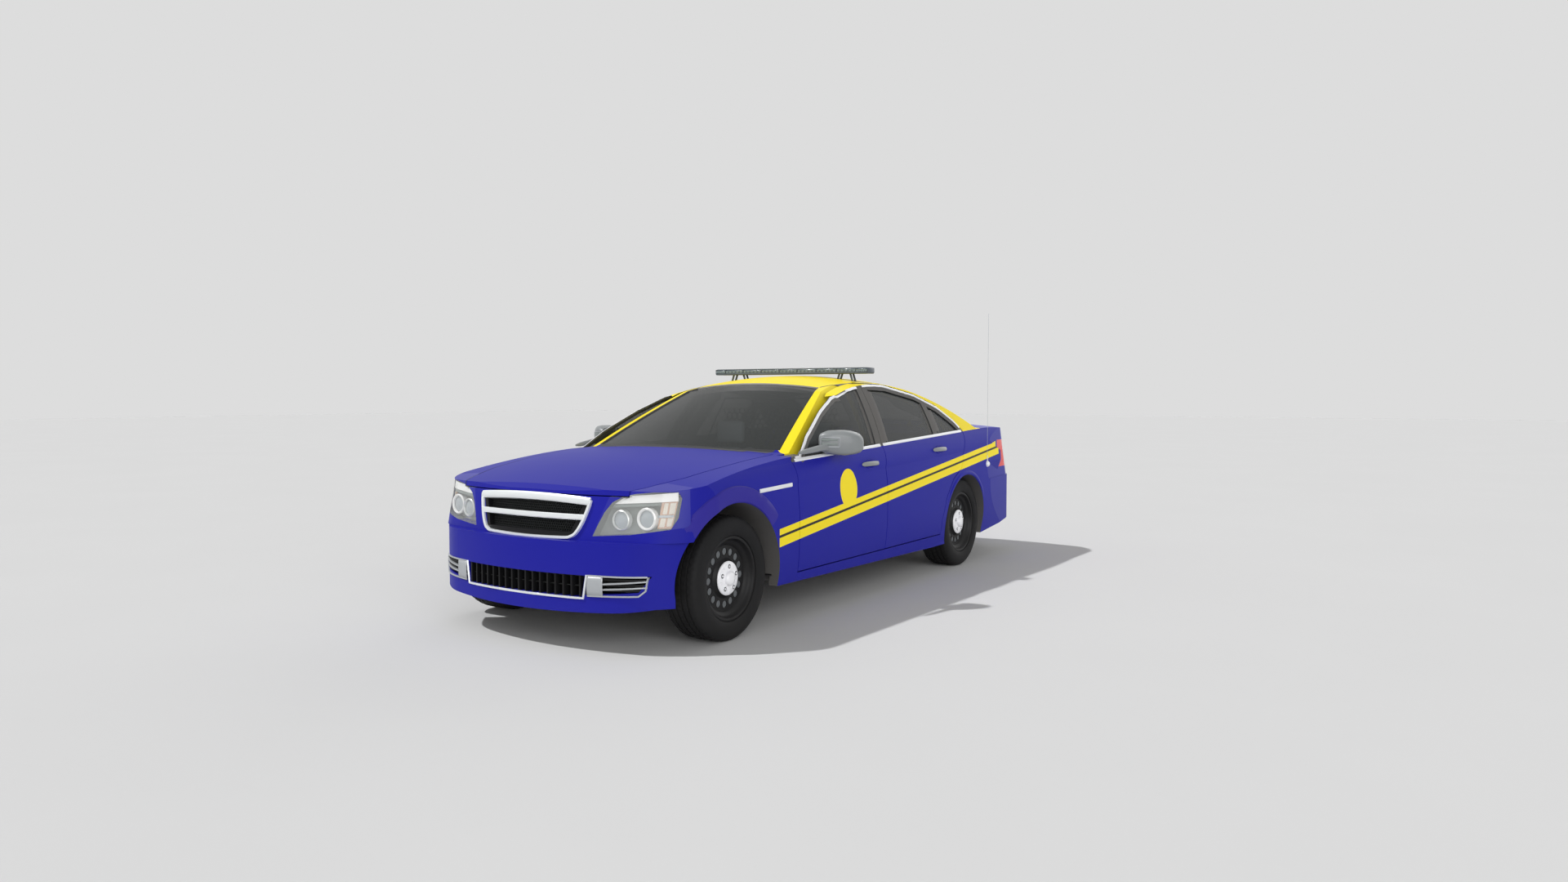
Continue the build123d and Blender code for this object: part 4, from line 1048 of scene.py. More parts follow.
class PATROL_OT_trim(bpy.types.Operator):
    """Makes the bright window surrounds, fender strips, handles, arch lips and roof channels"""

    bl_idname = "patrol.trim"
    bl_label = "Outside trim"

    def execute(self, context):
        front_door = surface_tree("front_door_left")
        rear_door = surface_tree("rear_door_left")
        fender = surface_tree("fender_left", "front_bumper")
        quarter = surface_tree("side_frame_left", "rear_door_left", "rear_bumper")
        top = surface_tree("roof_panel", "side_frame_left")
        for side, sign in SIDES:
            for kind, tree, belt in (("front", front_door, FRONT_BELT), ("rear", rear_door, REAR_BELT)):
                body = f"door_{kind}_{side}"
                whole = surface_tree(f"{kind}_door_left", f"{kind}_glass_left")
                edge = top_edge_path(whole, *WINDOW_SPANS[kind])
                add_piece(f"window_surround_{kind}_{side}", *strip(*edge, TRIM_HALF, 0.004), "white trim", body,
                          "chrome", side=sign)
                glass = surface_tree(f"{kind}_glass_left")
                bands = [strip(*laid_on(on_side, glass, line), half, 0.0012)
                         for line, half in GLASS_BANDS[kind]]
                if kind == "front":
                    bands.append(strip(*top_edge_path(whole, *PILLAR_SPAN, inset=28.0), 0.014, 0.002))
                add_piece(f"glass_border_{kind}_{side}", *joined(*bands), "frame grey", body,
                          "dark_plastic", side=sign)
                moulding = strip(*laid_on(on_side, tree, belt), TRIM_HALF * 1.1, 0.005)
                add_piece(f"belt_moulding_{kind}_{side}", *moulding, "white trim", body, "chrome", side=sign)
            mesh = strip(*laid_on(on_side, fender, FENDER_STRIP), 0.011, 0.005)
            add_piece(f"fender_strip_{side}", *mesh, "white trim", "body", "chrome", side=sign)
            for kind, tree in (("front", front_door), ("rear", rear_door)):
                dish, bar = handle_mesh(tree, *HANDLE_PLACES[kind], HANDLE_LENGTH)
                add_piece(f"handle_dish_{kind}_{side}", *dish, "blue paint", f"door_{kind}_{side}",
                          "body_paint", side=sign)
                add_piece(f"door_handle_{kind}_{side}", *bar, "mirror grey", f"door_{kind}_{side}",
                          "mirror_cap", side=sign)
            flare = arch_flare(fender, 0, FRONT_FLARE, 34, 146, 72)
            # The front flare carries the lighter blue, a painted highlight along the band
            add_piece(f"arch_flare_front_{side}", *flare, "flare paint", "body", "body_paint", side=sign)
            lip = arch_flare(quarter, WHEELBASE * 1000, REAR_LIP, 20, 160, 64)
            add_piece(f"arch_lip_rear_{side}", *lip, "blue paint", "body", "body_paint", side=sign)
            points, normals = laid_on(on_top, top, ROOF_CHANNEL, 40.0)
            add_piece(f"roof_channel_{side}", *strip(points, normals, 0.005, 0.0012), "black plastic",
                      "body", "dark_plastic", side=sign)
        return {"FINISHED"}


# Front: grille mesh, intake, side vents and headlamps

GRILLE_MESH_SET_BACK = 30.0


def nose_station(x, z):
    """Station of the upper nose's face at a half width and height, in mm."""
    return -615.0 + x * x / 4772.0 + 0.2 * (z - 566.0)


def honeycomb(pitch, wall, width_range, height_range, place, depth):
    """Hexagon cells joined into a mesh; place(u, v) gives a cell point and depth is along +Y."""
    cells = []
    row = 0
    v = height_range[0]
    while v <= height_range[1]:
        u = width_range[0] + (pitch / 2 if row % 2 else 0.0)
        while u <= width_range[1]:
            verts = []
            for scale, back in ((1.0, 0.0), (1.0 - wall, 0.0), (1.0 - wall, depth)):
                for k in range(6):
                    a = tau * k / 6 + pi / 6
                    point = place(u + cos(a) * pitch / 1.732 * scale, v + sin(a) * pitch / 1.732 * scale)
                    verts.append(point + Vector((0, back, 0)))
            cells.append((verts, quads(3, 6)))
            u += pitch
        v += pitch * 0.866
        row += 1
    return joined(*cells)


# Half width, height and radius of each round lamp in mm, its name, its glass's share, and its ring's finish
HEADLAMP_UNITS = ((700, 684, 58, "outer", 0.74, "halo"), (565, 674, 52, "inner", 0.84, "lamp bowl"))
# Right half of the grille opening's border, from its foot to its top: (half width, height)
GRILLE_BORDER = [(250, 575), (306, 584), (336, 606), (366, 660), (390, 735), (396, 770)]
INTAKE_OUTLINE = [(-440, 402), (-420, 282), (420, 282), (440, 402)]
VENT_SLATS = (((446, 399), (735, 399)), ((446, 353), (735, 377)), ((446, 327), (735, 347)),
              ((446, 297), (700, 303), (728, 330), (738, 399)))
# Tiles inside the clear lens: four corners as (half width, height), depth, columns and rows
TURN_LAMP = [([(764, 640), (826, 640), (838, 786), (772, 786)], 0.020, 6, 6)]
TURN_LAMP_CELLS = [([(772, 648), (794, 648), (797, 692), (776, 692)], 0.014, 6, 6),
                   ([(802, 650), (820, 652), (826, 692), (804, 692)], 0.014, 6, 6),
                   ([(780, 712), (798, 712), (801, 766), (784, 766)], 0.014, 6, 6),
                   ([(806, 712), (828, 712), (830, 766), (808, 766)], 0.014, 6, 6)]
LAMP_BAR = [([(742, 694), (826, 695), (827, 707), (744, 706)], 0.012, 8, 2)]
LAMP_BROW = [([(530, 756), (836, 774), (832, 817), (590, 797)], 0.008, 16, 4)]
LAMP_SHADE = [([(512, 738), (768, 754), (770, 768), (530, 754)], 0.010, 12, 2)]
# Name, tiles, finish and slot of each
LENS_INSIDES = (
    ("turn_lamp", TURN_LAMP, "amber lens", "clear_lens"),
    ("turn_lamp_cells", TURN_LAMP_CELLS, "cream cell", "clear_lens"),
    ("lamp_bar", LAMP_BAR, "projector glass", "clear_lens"),
    ("lamp_brow", LAMP_BROW, "halo", "chrome"),
    ("lamp_shade", LAMP_SHADE, "lamp dark", "dark_plastic"),
)


def lens_tile(lamps, corners, depth, columns, rows):
    """A closed tile behind the lens, from its four corners; its depth is in metres."""
    (ax, az), (bx, bz), (cx, cz), (dx, dz) = corners
    verts = []
    for inset in (depth, depth + 0.004):
        for i in range(columns + 1):
            for j in range(rows + 1):
                u, v = i / columns, j / rows
                x = (ax * (1 - u) + bx * u) * (1 - v) + (dx * (1 - u) + cx * u) * v
                z = (az * (1 - u) + bz * u) * (1 - v) + (dz * (1 - u) + cz * u) * v
                hit, normal = on_front(lamps, x, z)
                verts.append(hit - normal * inset)
    size = (columns + 1) * (rows + 1)
    faces = quads(columns + 1, rows + 1, loop=False, flip=True)
    faces += [tuple(size + i for i in face) for face in quads(columns + 1, rows + 1, loop=False)]
    edge = [i * (rows + 1) for i in range(columns + 1)]
    edge += [columns * (rows + 1) + j for j in range(1, rows + 1)]
    edge += [i * (rows + 1) + rows for i in range(columns - 1, -1, -1)]
    edge += list(range(rows - 1, 0, -1))
    faces += [(b, a, size + a, size + b) for a, b in zip(edge, edge[1:] + edge[:1])]
    return verts, faces


class PATROL_OT_front(bpy.types.Operator):
    """Makes the grille mesh, the lower intake, the side vents and the lamps"""

    bl_idname = "patrol.front"
    bl_label = "Front and lamps"

    def execute(self, context):
        bumper = surface_tree("front_bumper")
        lamps = surface_tree("headlamps")
        self.grille()
        self.intake(bumper)
        for side, sign in SIDES:
            self.vent(bumper, side, sign)
            self.lamps(lamps, side, sign)
        return {"FINISHED"}

    def bar(self, name, points, toward, half_width, base):
        """A bright bar along points, crowned towards one direction."""
        mesh = strip(points, [Vector(toward)] * len(points), half_width, 0.010, base)
        add_piece(name, *mesh, "chrome", "body", "chrome")

    def grille(self):
        """Hexagon mesh, the bright frame round the opening, and its top and middle bars."""
        def mesh_point(x, z):
            return at(x, nose_station(x, z) + GRILLE_MESH_SET_BACK, z)

        mesh = honeycomb(15.0, 0.20, (-380, 380), (584, 770), mesh_point, 0.010)
        add_piece("grille_mesh", *mesh, "grille mesh", "body", "dark_plastic", smooth=False)
        border = [(-x, z) for x, z in reversed(GRILLE_BORDER)] + [(0, 570)] + GRILLE_BORDER
        places = [mesh_point(x, z) + Vector((0, -0.034, 0)) for x, z in border]
        self.bar("grille_frame", smooth_path(places, 4), (0, -1, 0.1), 0.0085, -0.02)
        arched = [(x, 762 + 16 * (1 - (x / 396) ** 2)) for x in range(-396, 397, 24)]
        line = [at(x, nose_station(x, z) - 5, z) for x, z in arched]
        self.bar("grille_top_bar", line, (0, -1, 0.25), 0.020, -0.03)
        line = [at(x, nose_station(x, 682) - 5, 682) for x in range(-372, 373, 24)]
        self.bar("grille_middle_bar", line, (0, -1, 0.1), 0.0145, -0.02)

    def intake(self, bumper):
        """A bright line below the lower intake and at its sides, with crossbars behind it."""
        points, normals = laid_on(on_front, bumper, INTAKE_OUTLINE, 24.0)
        verts, faces = strip(points, normals, 0.006, 0.006, -0.010)
        # The line stands no further forward than the bumper
        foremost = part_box("front_bumper")[0][1]
        verts = [Vector((v.x, max(v.y, foremost), v.z)) for v in verts]
        add_piece("intake_outline", verts, faces, "chrome", "body", "chrome")
        parts = []
        for z in (342, 392):
            bar = [on_front(bumper, x, 410)[0] for x in range(-424, 425, 53)]
            bar = [Vector((p.x, p.y + 0.026, z / 1000)) for p in bar]
            parts.append(strip(bar, [Vector((0, -1, 0))] * len(bar), 0.003, 0.006, -0.012))
        add_piece("intake_crossbars", *joined(*parts), "grille mesh", "body", "dark_plastic")

    def vent(self, bumper, side, sign):
        """A silver panel ruled between the bumper's skin above and below the vent, and the vent's slats."""
        verts = []
        columns, rows = 9, 5
        for i in range(columns):
            x = 444 + (532 - 444) * i / (columns - 1)
            top = on_front(bumper, x, 406)[0]
            low = on_front(bumper, x, 290)[0]
            for j in range(rows):
                t = j / (rows - 1)
                verts.append(low.lerp(top, 0.04 + 0.92 * t) + Vector((0, -0.004 - 0.004 * sin(pi * t), 0)))
        panel = add_piece(f"vent_panel_{side}", verts, quads(columns, rows, loop=False, flip=True),
                          "silver plastic", "body", "chrome", side=sign)
        add_modifier(panel, "SOLIDIFY", thickness=0.003, offset=0)
        slats = []
        for corners in VENT_SLATS:
            line = []
            for (x0, z0), (x1, z1) in zip(corners, corners[1:]):
                for i in range(9):
                    skin = on_front(bumper, x0 + (x1 - x0) * i / 8, 412)[0]
                    line.append(Vector((skin.x, skin.y - 0.001, (z0 + (z1 - z0) * i / 8) / 1000)))
            slats.append(strip(line, [Vector((0.3, -1, 0))] * len(line), 0.0045, 0.006, -0.014))
        add_piece(f"vent_slats_{side}", *joined(*slats), "silver plastic", "body", "chrome", side=sign)

    def lamps(self, lamps, side, sign):
        """Round lamps inside the clear lens, and the amber lamp at its outer end."""
        toward = Vector((0.10, -1, 0.04)).normalized()
        for x, z, radius, label, share, finish in HEADLAMP_UNITS:
            centre = on_front(lamps, x, z)[0] - toward * 0.030
            size = radius / 1000
            ring = turned([(0.004, size * share), (0.012, size * (share + 0.03)), (0.015, size * 0.9),
                           (0.011, size), (-0.016, size * 1.02)], 56, centre, toward)
            add_piece(f"lamp_ring_{label}_{side}", *ring, finish, "body", "chrome", side=sign)
            glass = turned([(0.002, size * share), (0.005, size * share * 0.8), (0.009, size * share * 0.5),
                            (0.011, size * share * 0.2), (0.0115, 0.0005)], 56, centre, toward)
            add_piece(f"lamp_glass_{label}_{side}", *glass, "projector glass", "body", "clear_lens",
                      side=sign)
        for name, tiles, finish, slot in LENS_INSIDES:
            mesh = joined(*[lens_tile(lamps, *tile) for tile in tiles])
            add_piece(f"{name}_{side}", *mesh, finish, "body", slot, side=sign)


# Mirrors, light bar and antennas

# Mirror housing from its inner end outward, in mm: half width, first and last station, low and high
MIRROR_SECTIONS = [
    (858, 940, 1004, 988, 1040), (870, 918, 1064, 964, 1078), (902, 914, 1118, 948, 1092),
    (950, 938, 1136, 942, 1094), (990, 974, 1142, 941, 1090), (1022, 1012, 1142, 946, 1080),
    (1046, 1046, 1138, 956, 1064), (1060, 1076, 1130, 970, 1046), (1066, 1098, 1120, 986, 1028),
]
# Mirror foot from the front: station, half width, height, half thickness and half height
MIRROR_FOOT = [(676, 882, 968, 4, 6), (720, 886, 972, 11, 13), (800, 893, 980, 17, 17), (880, 902, 988, 20, 19),
               (960, 916, 994, 24, 22)]
# Frame round the two slots in the housing's front: (half width, height)
MIRROR_FRAME = [(884, 996), (984, 994), (986, 1048), (886, 1052)]


# Corners of the roof bar in mm, and the edges of its modules right of the middle in metres
BAR_LOW = (-650, 1932, 1452)
BAR_HIGH = (650, 2038, 1496)
MODULE_EDGES = [0.075, 0.235, 0.400, 0.560, 0.646]
# Height of the roof under the bar's feet: at the middle in metres, and how much it falls outward
ROOF_MIDDLE = 1.389
ROOF_FALL = 0.028
DIODE_PROFILE = [(0.0, 0.0085), (0.0022, 0.0080), (0.0012, 0.006), (0.0004, 0.0004)]
# Station of the whip's foot on the rear quarter, and of the two rods on the deck
WHIP_STATION = 3408
ROD_STATION = 3472


def rounded_ring(place, half_a, half_b, count=32, power=0.55):
    """Points of a rounded rectangle; place(a, b) gives a point."""
    ring = []
    for k in range(count):
        angle = tau * k / count
        a = abs(cos(angle)) ** power * (1 if cos(angle) > 0 else -1) * half_a
        b = abs(sin(angle)) ** power * (1 if sin(angle) > 0 else -1) * half_b
        ring.append(place(a, b))
    return ring


def skin_over(rings):
    """A closed skin over rings with the same number of points."""
    count = len(rings[0])
    verts = [p for ring in rings for p in ring]
    faces = quads(len(rings), count)
    faces.append(tuple(reversed(range(count))))
    faces.append(tuple(range((len(rings) - 1) * count, len(rings) * count)))
    return verts, faces


def mirror_mesh():
    """A swept mirror housing on a foot from the front corner of the window."""
    rings = []
    for x, front, back, low, high in MIRROR_SECTIONS:
        def place(a, b, x=x, s=(front + back) / 2, z=(low + high) / 2):
            return at(x, s + a, z + b)
        rings.append(rounded_ring(place, (back - front) / 2, (high - low) / 2))
    feet = []
    for station, x, z, half_x, half_z in MIRROR_FOOT:
        def place(a, b, x=x, s=station, z=z):
            return at(x + a, s, z + b)
        feet.append(rounded_ring(place, half_x, half_z, 20, 0.8))
    return skin_over(rings), skin_over([list(reversed(ring)) for ring in feet])


def on_housing(tree, x, z):
    """The point of the mirror housing's front at a half width and height, in mm."""
    return tree.ray_cast(at(x, 700, z), Vector((0, 1, 0)))[0]


class PATROL_OT_fittings(bpy.types.Operator):
    """Makes the mirrors, the roof light bar and the antennas"""

    bl_idname = "patrol.fittings"
    bl_label = "Mirrors, light bar and antennas"

    def execute(self, context):
        for side, sign in SIDES:
            body = f"door_front_{side}"
            shell, foot = mirror_mesh()
            housing = add_piece(f"mirror_housing_{side}", *joined(shell, foot), "mirror grey", body,
                                "mirror_cap", side=sign)
            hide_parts(f"mirror_{side}")
            front = BVHTree.FromPolygons(*shell)
            frame_lines = []
            for (x0, z0), (x1, z1) in zip(MIRROR_FRAME, MIRROR_FRAME[1:] + MIRROR_FRAME[:1]):
                line = [on_housing(front, x0 + (x1 - x0) * k / 8, z0 + (z1 - z0) * k / 8) for k in range(9)]
                frame_lines.append(strip(line, [Vector((0.2, -1, 0))] * 9, 0.0022, 0.003, -0.002))
            slots = []
            for z in (1011, 1036):
                line = [on_housing(front, 892 + 84 * k / 10, z) for k in range(11)]
                slots.append(strip(line, [Vector((0.2, -1, 0))] * 11, 0.0070, 0.0022, -0.002))
            add_piece(f"mirror_slot_frame_{side}", *joined(*frame_lines), "silver plastic", body,
                      "mirror_cap", side=sign)
            add_piece(f"mirror_slots_{side}", *joined(*slots), "lamp dark", body, "dark_plastic",
                      side=sign)
            # The mirror's glass faces the rear, with a rounded edge
            border = rounded_ring(lambda a, b: at(966 + a, 0, 1016 + b), 74, 58, 40)
            rings = []
            for station, scale in ((1140.0, 1.0), (1145.5, 1.0), (1146.5, 0.97), (1146.8, 0.5)):
                middle = at(966, station, 1016)
                rings.append([Vector((middle.x + (p.x - middle.x) * scale, middle.y,
                                      middle.z + (p.z - middle.z) * scale)) for p in border])
            add_piece(f"mirror_glass_{side}", *skin_over(rings), "mirror silver", body, "chrome",
                      side=sign)
        self.light_bar()
        self.antennas()
        return {"FINISHED"}

    def light_bar(self):
        """A slim roof bar: dark tray and lid, clear modules between them, and two pairs of legs."""
        low, high = at(*BAR_LOW), at(*BAR_HIGH)
        tray = rounded_box((low.x + 0.004, low.y, low.z), (high.x - 0.004, high.y, low.z + 0.013), 0.005)
        lid = rounded_box((low.x + 0.010, low.y + 0.006, high.z - 0.010),
                          (high.x - 0.010, high.y - 0.006, high.z), 0.004)
        parts = [tray, lid]
        edges = [-x for x in reversed(MODULE_EDGES)] + MODULE_EDGES
        for x in edges:
            parts.append(rounded_box((x - 0.005, low.y + 0.004, low.z + 0.006),
                                     (x + 0.005, high.y - 0.004, high.z - 0.003), 0.002, 2))
        for x in (-0.52, -0.39, 0.39, 0.52):
            roof = ROOF_MIDDLE - abs(x) * ROOF_FALL
            lean = 0.022 if abs(x) > 0.45 else -0.022
            lean = lean if x > 0 else -lean
            for y in (low.y + 0.030, high.y - 0.034):
                foot = Vector((x, y, roof + 0.004))
                leg = [foot, foot + Vector((0, 0, 0.012)), Vector((x - lean, y, low.z + 0.004))]
                parts.append(tube(leg, 0.0075, 10))
            parts.append(rounded_box((x - 0.020, low.y + 0.018, roof),
                                     (x + 0.020, high.y - 0.020, roof + 0.010), 0.003))
        bar = add_piece("roof_light_bar", *joined(*parts), "bar grey", "body", "light_bar")
        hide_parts("light_bar")
        lenses = []
        for x0, x1 in zip(edges, edges[1:]):
            lenses.append(rounded_box((x0 + 0.005, low.y + 0.003, low.z + 0.012),
                                      (x1 - 0.005, high.y - 0.003, high.z - 0.008), 0.006, 4))
        add_piece("light_bar_modules", *joined(*lenses), "module lens", "body", "light_bar")
        bulbs = []
        for x0, x1 in zip(edges, edges[1:]):
            for k in range(5):
                x = x0 + (x1 - x0) * (k + 0.5) / 5
                for y, face in ((low.y + 0.0025, -1), (high.y - 0.0025, 1)):
                    bulbs.append(turned(DIODE_PROFILE, 14, (x, y, low.z + 0.024), (0, face, 0)))
        add_piece("light_bar_diodes", *joined(*bulbs), "diode glass", "body", "light_bar")

    def antennas(self):
        """A whip with its ball mount and spring on the left quarter, and two rods behind the rear window."""
        ball = turned([(-0.020, 0.012), (-0.012, 0.021), (0.0, 0.0243), (0.012, 0.021), (0.020, 0.013),
                       (0.023, 0.001)], 28, at(930, WHIP_STATION, 758), (1, 0, 0.15))
        base = at(932, WHIP_STATION, 776)
        coil = [base + Vector((0.0065 * cos(tau * t / 10), 0.0065 * sin(tau * t / 10), 0.0008 * t))
                for t in range(61)]
        add_piece("whip_mount", *joined(ball, tube(coil, 0.0014, 6)), "cap chrome", "body", "chrome")
        line = [base, at(930, WHIP_STATION + 4, 1300), at(930, WHIP_STATION + 10, 1944)]
        whip = add_piece("whip_antenna", *tube(line, 0.0012, 8), "antenna grey", "body", "dark_plastic")
        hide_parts("antennas")
        top = surface_tree("rear_bulkhead", "trunk_lid")
        rods = []
        for x in (-300, -340):
            hit, _ = on_top(top, x, ROD_STATION)
            rods.append(tube([hit, hit + Vector((0, 0.002, 0.30))], 0.0016, 8))
            foot = [(-0.001, 0.013), (0.006, 0.012), (0.010, 0.006), (0.022, 0.004)]
            rods.append(turned(foot, 20, hit, (0, 0, 1)))
        add_piece("deck_antennas", *joined(*rods), "antenna grey", "body", "dark_plastic")


# Cabin

SEAT_X = 375.0
# Start shapes of the pads, in mm: side outline as (station, height), the points of its sitting face and how far
# they move in the middle, half width, place across the car, and the swelling allowed in metres
PADS = {
    "front_cushion": (
        [(1146, 352), (1140, 425), (1168, 466), (1300, 462), (1480, 448), (1628, 430), (1630, 352)],
        (3, 4), (0, -20), 243, SEAT_X, 0.014),
    "front_back": (
        [(1606, 470), (1650, 640), (1690, 800), (1704, 926), (1740, 940), (1774, 926), (1762, 700),
         (1716, 470)],
        (1, 2), (20, 0), 228, SEAT_X, 0.014),
    "headrest": (
        [(1728, 958), (1712, 1012), (1724, 1108), (1748, 1120), (1772, 1112), (1778, 1012), (1758, 958)],
        (), (0, 0), 112, SEAT_X, 0.010),
    "rear_cushion": (
        [(2316, 352), (2312, 425), (2338, 466), (2480, 458), (2680, 444), (2850, 420), (2852, 352)],
        (3, 4), (0, -16), 588, 0.0, 0.014),
    "rear_back": (
        [(2880, 446), (2930, 640), (2986, 860), (3002, 926), (3060, 932), (3104, 926), (3052, 700),
         (2972, 446)],
        (1, 2), (18, 0), 588, 0.0, 0.014),
}


# The simulation's voxels in metres, its pressure and its number of frames
SEAT_VOXEL = 0.014
BENCH_VOXEL = 0.016
CLOTH_PRESSURE = 4.0
CLOTH_FRAMES = 20


def pad_mesh(outline, face, move, half_width, centre_x):
    """A lofted start shape whose sitting face is hollow in the middle and whose ends are rounded."""
    middle_s = sum(s for s, _ in outline) / len(outline)
    middle_z = sum(z for _, z in outline) / len(outline)
    rings = []
    for share in (-1.0, -0.97, -0.9, -0.72, -0.55, -0.25, 0.0, 0.25, 0.55, 0.72, 0.9, 0.97, 1.0):
        away = abs(share)
        scale = 0.86 if away == 1 else 0.95 if away > 0.95 else 1.0
        hollow = 1.0 if away < 0.6 else 0.0
        ring = []
        for i, (s, z) in enumerate(outline):
            ds, dz = (move[0] * hollow, move[1] * hollow) if i in face else (0.0, 0.0)
            ring.append(at(centre_x + share * half_width, middle_s + (s + ds - middle_s) * scale,
                           middle_z + (z + dz - middle_z) * scale))
        rings.append(ring)
    return skin_over(rings)


def apply_modifiers(piece):
    """Puts the result of a piece's modifiers on its mesh."""
    graph = bpy.context.evaluated_depsgraph_get()
    mesh = bpy.data.meshes.new_from_object(piece.evaluated_get(graph))
    piece.modifiers.clear()
    old = piece.data
    piece.data = mesh
    bpy.data.meshes.remove(old)


def swell(piece, voxel, limit):
    """Blows a start shape up as cloth under pressure, with no point moving further than the limit."""
    add_modifier(piece, "REMESH", mode="VOXEL", voxel_size=voxel)
    apply_modifiers(piece)
    start = [v.co.copy() for v in piece.data.vertices]
    cloth = piece.modifiers.new("cloth", "CLOTH")
    cloth.settings.use_pressure = True
    cloth.settings.uniform_pressure_force = CLOTH_PRESSURE
    cloth.settings.effector_weights.gravity = 0.0
    cloth.point_cache.frame_start = 1
    cloth.point_cache.frame_end = CLOTH_FRAMES
    scene = bpy.context.scene
    for frame_number in range(1, CLOTH_FRAMES + 1):
        scene.frame_set(frame_number)
    graph = bpy.context.evaluated_depsgraph_get()
    moved = [v.co.copy() for v in piece.evaluated_get(graph).data.vertices]
    scene.frame_set(1)
    piece.modifiers.clear()
    for vertex, place, goal in zip(piece.data.vertices, start, moved):
        step = goal - place
        if step.length > limit:
            step *= limit / step.length
        vertex.co = place + step
    add_modifier(piece, "SUBSURF", levels=1, render_levels=1)
    apply_modifiers(piece)
    piece.data.shade_smooth()


def press_seams(piece, seams, depth=0.006, width=0.009):
    """Presses sewn channels in: a seam is (axis, place, low, high) and runs between low and high."""
    for vertex in piece.data.vertices:
        sink = 0.0
        for axis, place, low, high in seams:
            other = vertex.co[1 - axis]
            if low < other < high:
                near = abs(vertex.co[axis] - place) / width
                sink = max(sink, (1 - near * near) ** 2 if near < 1 else 0.0)
        if sink:
            vertex.co -= vertex.normal * depth * sink


class PATROL_OT_seats(bpy.types.Operator):
    """Makes the padded front seats and rear bench, and the frames that carry them"""

    bl_idname = "patrol.seats"
    bl_label = "Seats"

    def pad(self, name, kind, seams, node):
        """Swells one pad, presses its seams in and lets it stand for a node."""
        outline, face, move, half_width, centre_x, limit = PADS[kind]
        mesh = pad_mesh(outline, face, move, half_width, centre_x)
        piece = add_piece(name, *mesh, "seat cloth", "body", "seat_cloth")
        swell(piece, BENCH_VOXEL if kind.startswith("rear") else SEAT_VOXEL, limit)
        press_seams(piece, seams)
        piece.data.shade_smooth()
        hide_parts(node)
        return piece

    def execute(self, context):
        y = AXLE_Y
        seat = SEAT_X / 1000
        across = [(0, seat - 0.135, y + 1.2, y + 2.0), (0, seat + 0.135, y + 1.2, y + 2.0)]
        kinds = {
            "front_cushion": across + [(1, y + s, seat - 0.13, seat + 0.13) for s in (1.245, 1.42)],
            "front_back": across,
            "headrest": [],
        }
        for kind, seams in kinds.items():
            left = self.pad(f"{kind}_left", kind, seams, "front_seats")
            # The right seat is the same pad mirrored
            points = [(v.co.x, v.co.y, v.co.z) for v in left.data.vertices]
            faces = [tuple(p.vertices) for p in left.data.polygons]
            right = add_piece(f"{kind}_right", points, faces, "seat cloth", "body", "seat_cloth",
                              side=-1)
            right.data.shade_smooth()
        bench = [(0, x, y + 2.0, y + 3.2) for x in (-0.40, -0.13, 0.13, 0.40)]
        self.pad("rear_cushion", "rear_cushion", bench + [(1, y + 2.45, -0.6, 0.6)], "rear_seat")
        self.pad("rear_back", "rear_back", bench, "rear_seat")
        for side, sign in SIDES:
            parts = [rounded_box(at(SEAT_X - 218, 1160, 296), at(SEAT_X + 218, 1610, 366), 0.014)]
            for x in (SEAT_X - 170, SEAT_X + 170):
                parts.append(rounded_box(at(x - 16, 1150, 279), at(x + 16, 1630, 300), 0.005))
            for x in (SEAT_X - 48, SEAT_X + 48):
                parts.append(tube([at(x, 1738, 905), at(x, 1742, 980)], 0.006, 12))
            add_piece(f"seat_base_{side}", *joined(*parts), "cabin plastic", "body", "interior", side=sign)
        add_piece("bench_base", *rounded_box(at(-560, 2330, 262), at(560, 2850, 366), 0.014),
                  "cabin plastic", "body", "interior")
        return {"FINISHED"}


WHEEL_PLACE = (SEAT_X, 1030, 830)
WHEEL_TILT = radians(25)
SCREEN_STATION = 1834


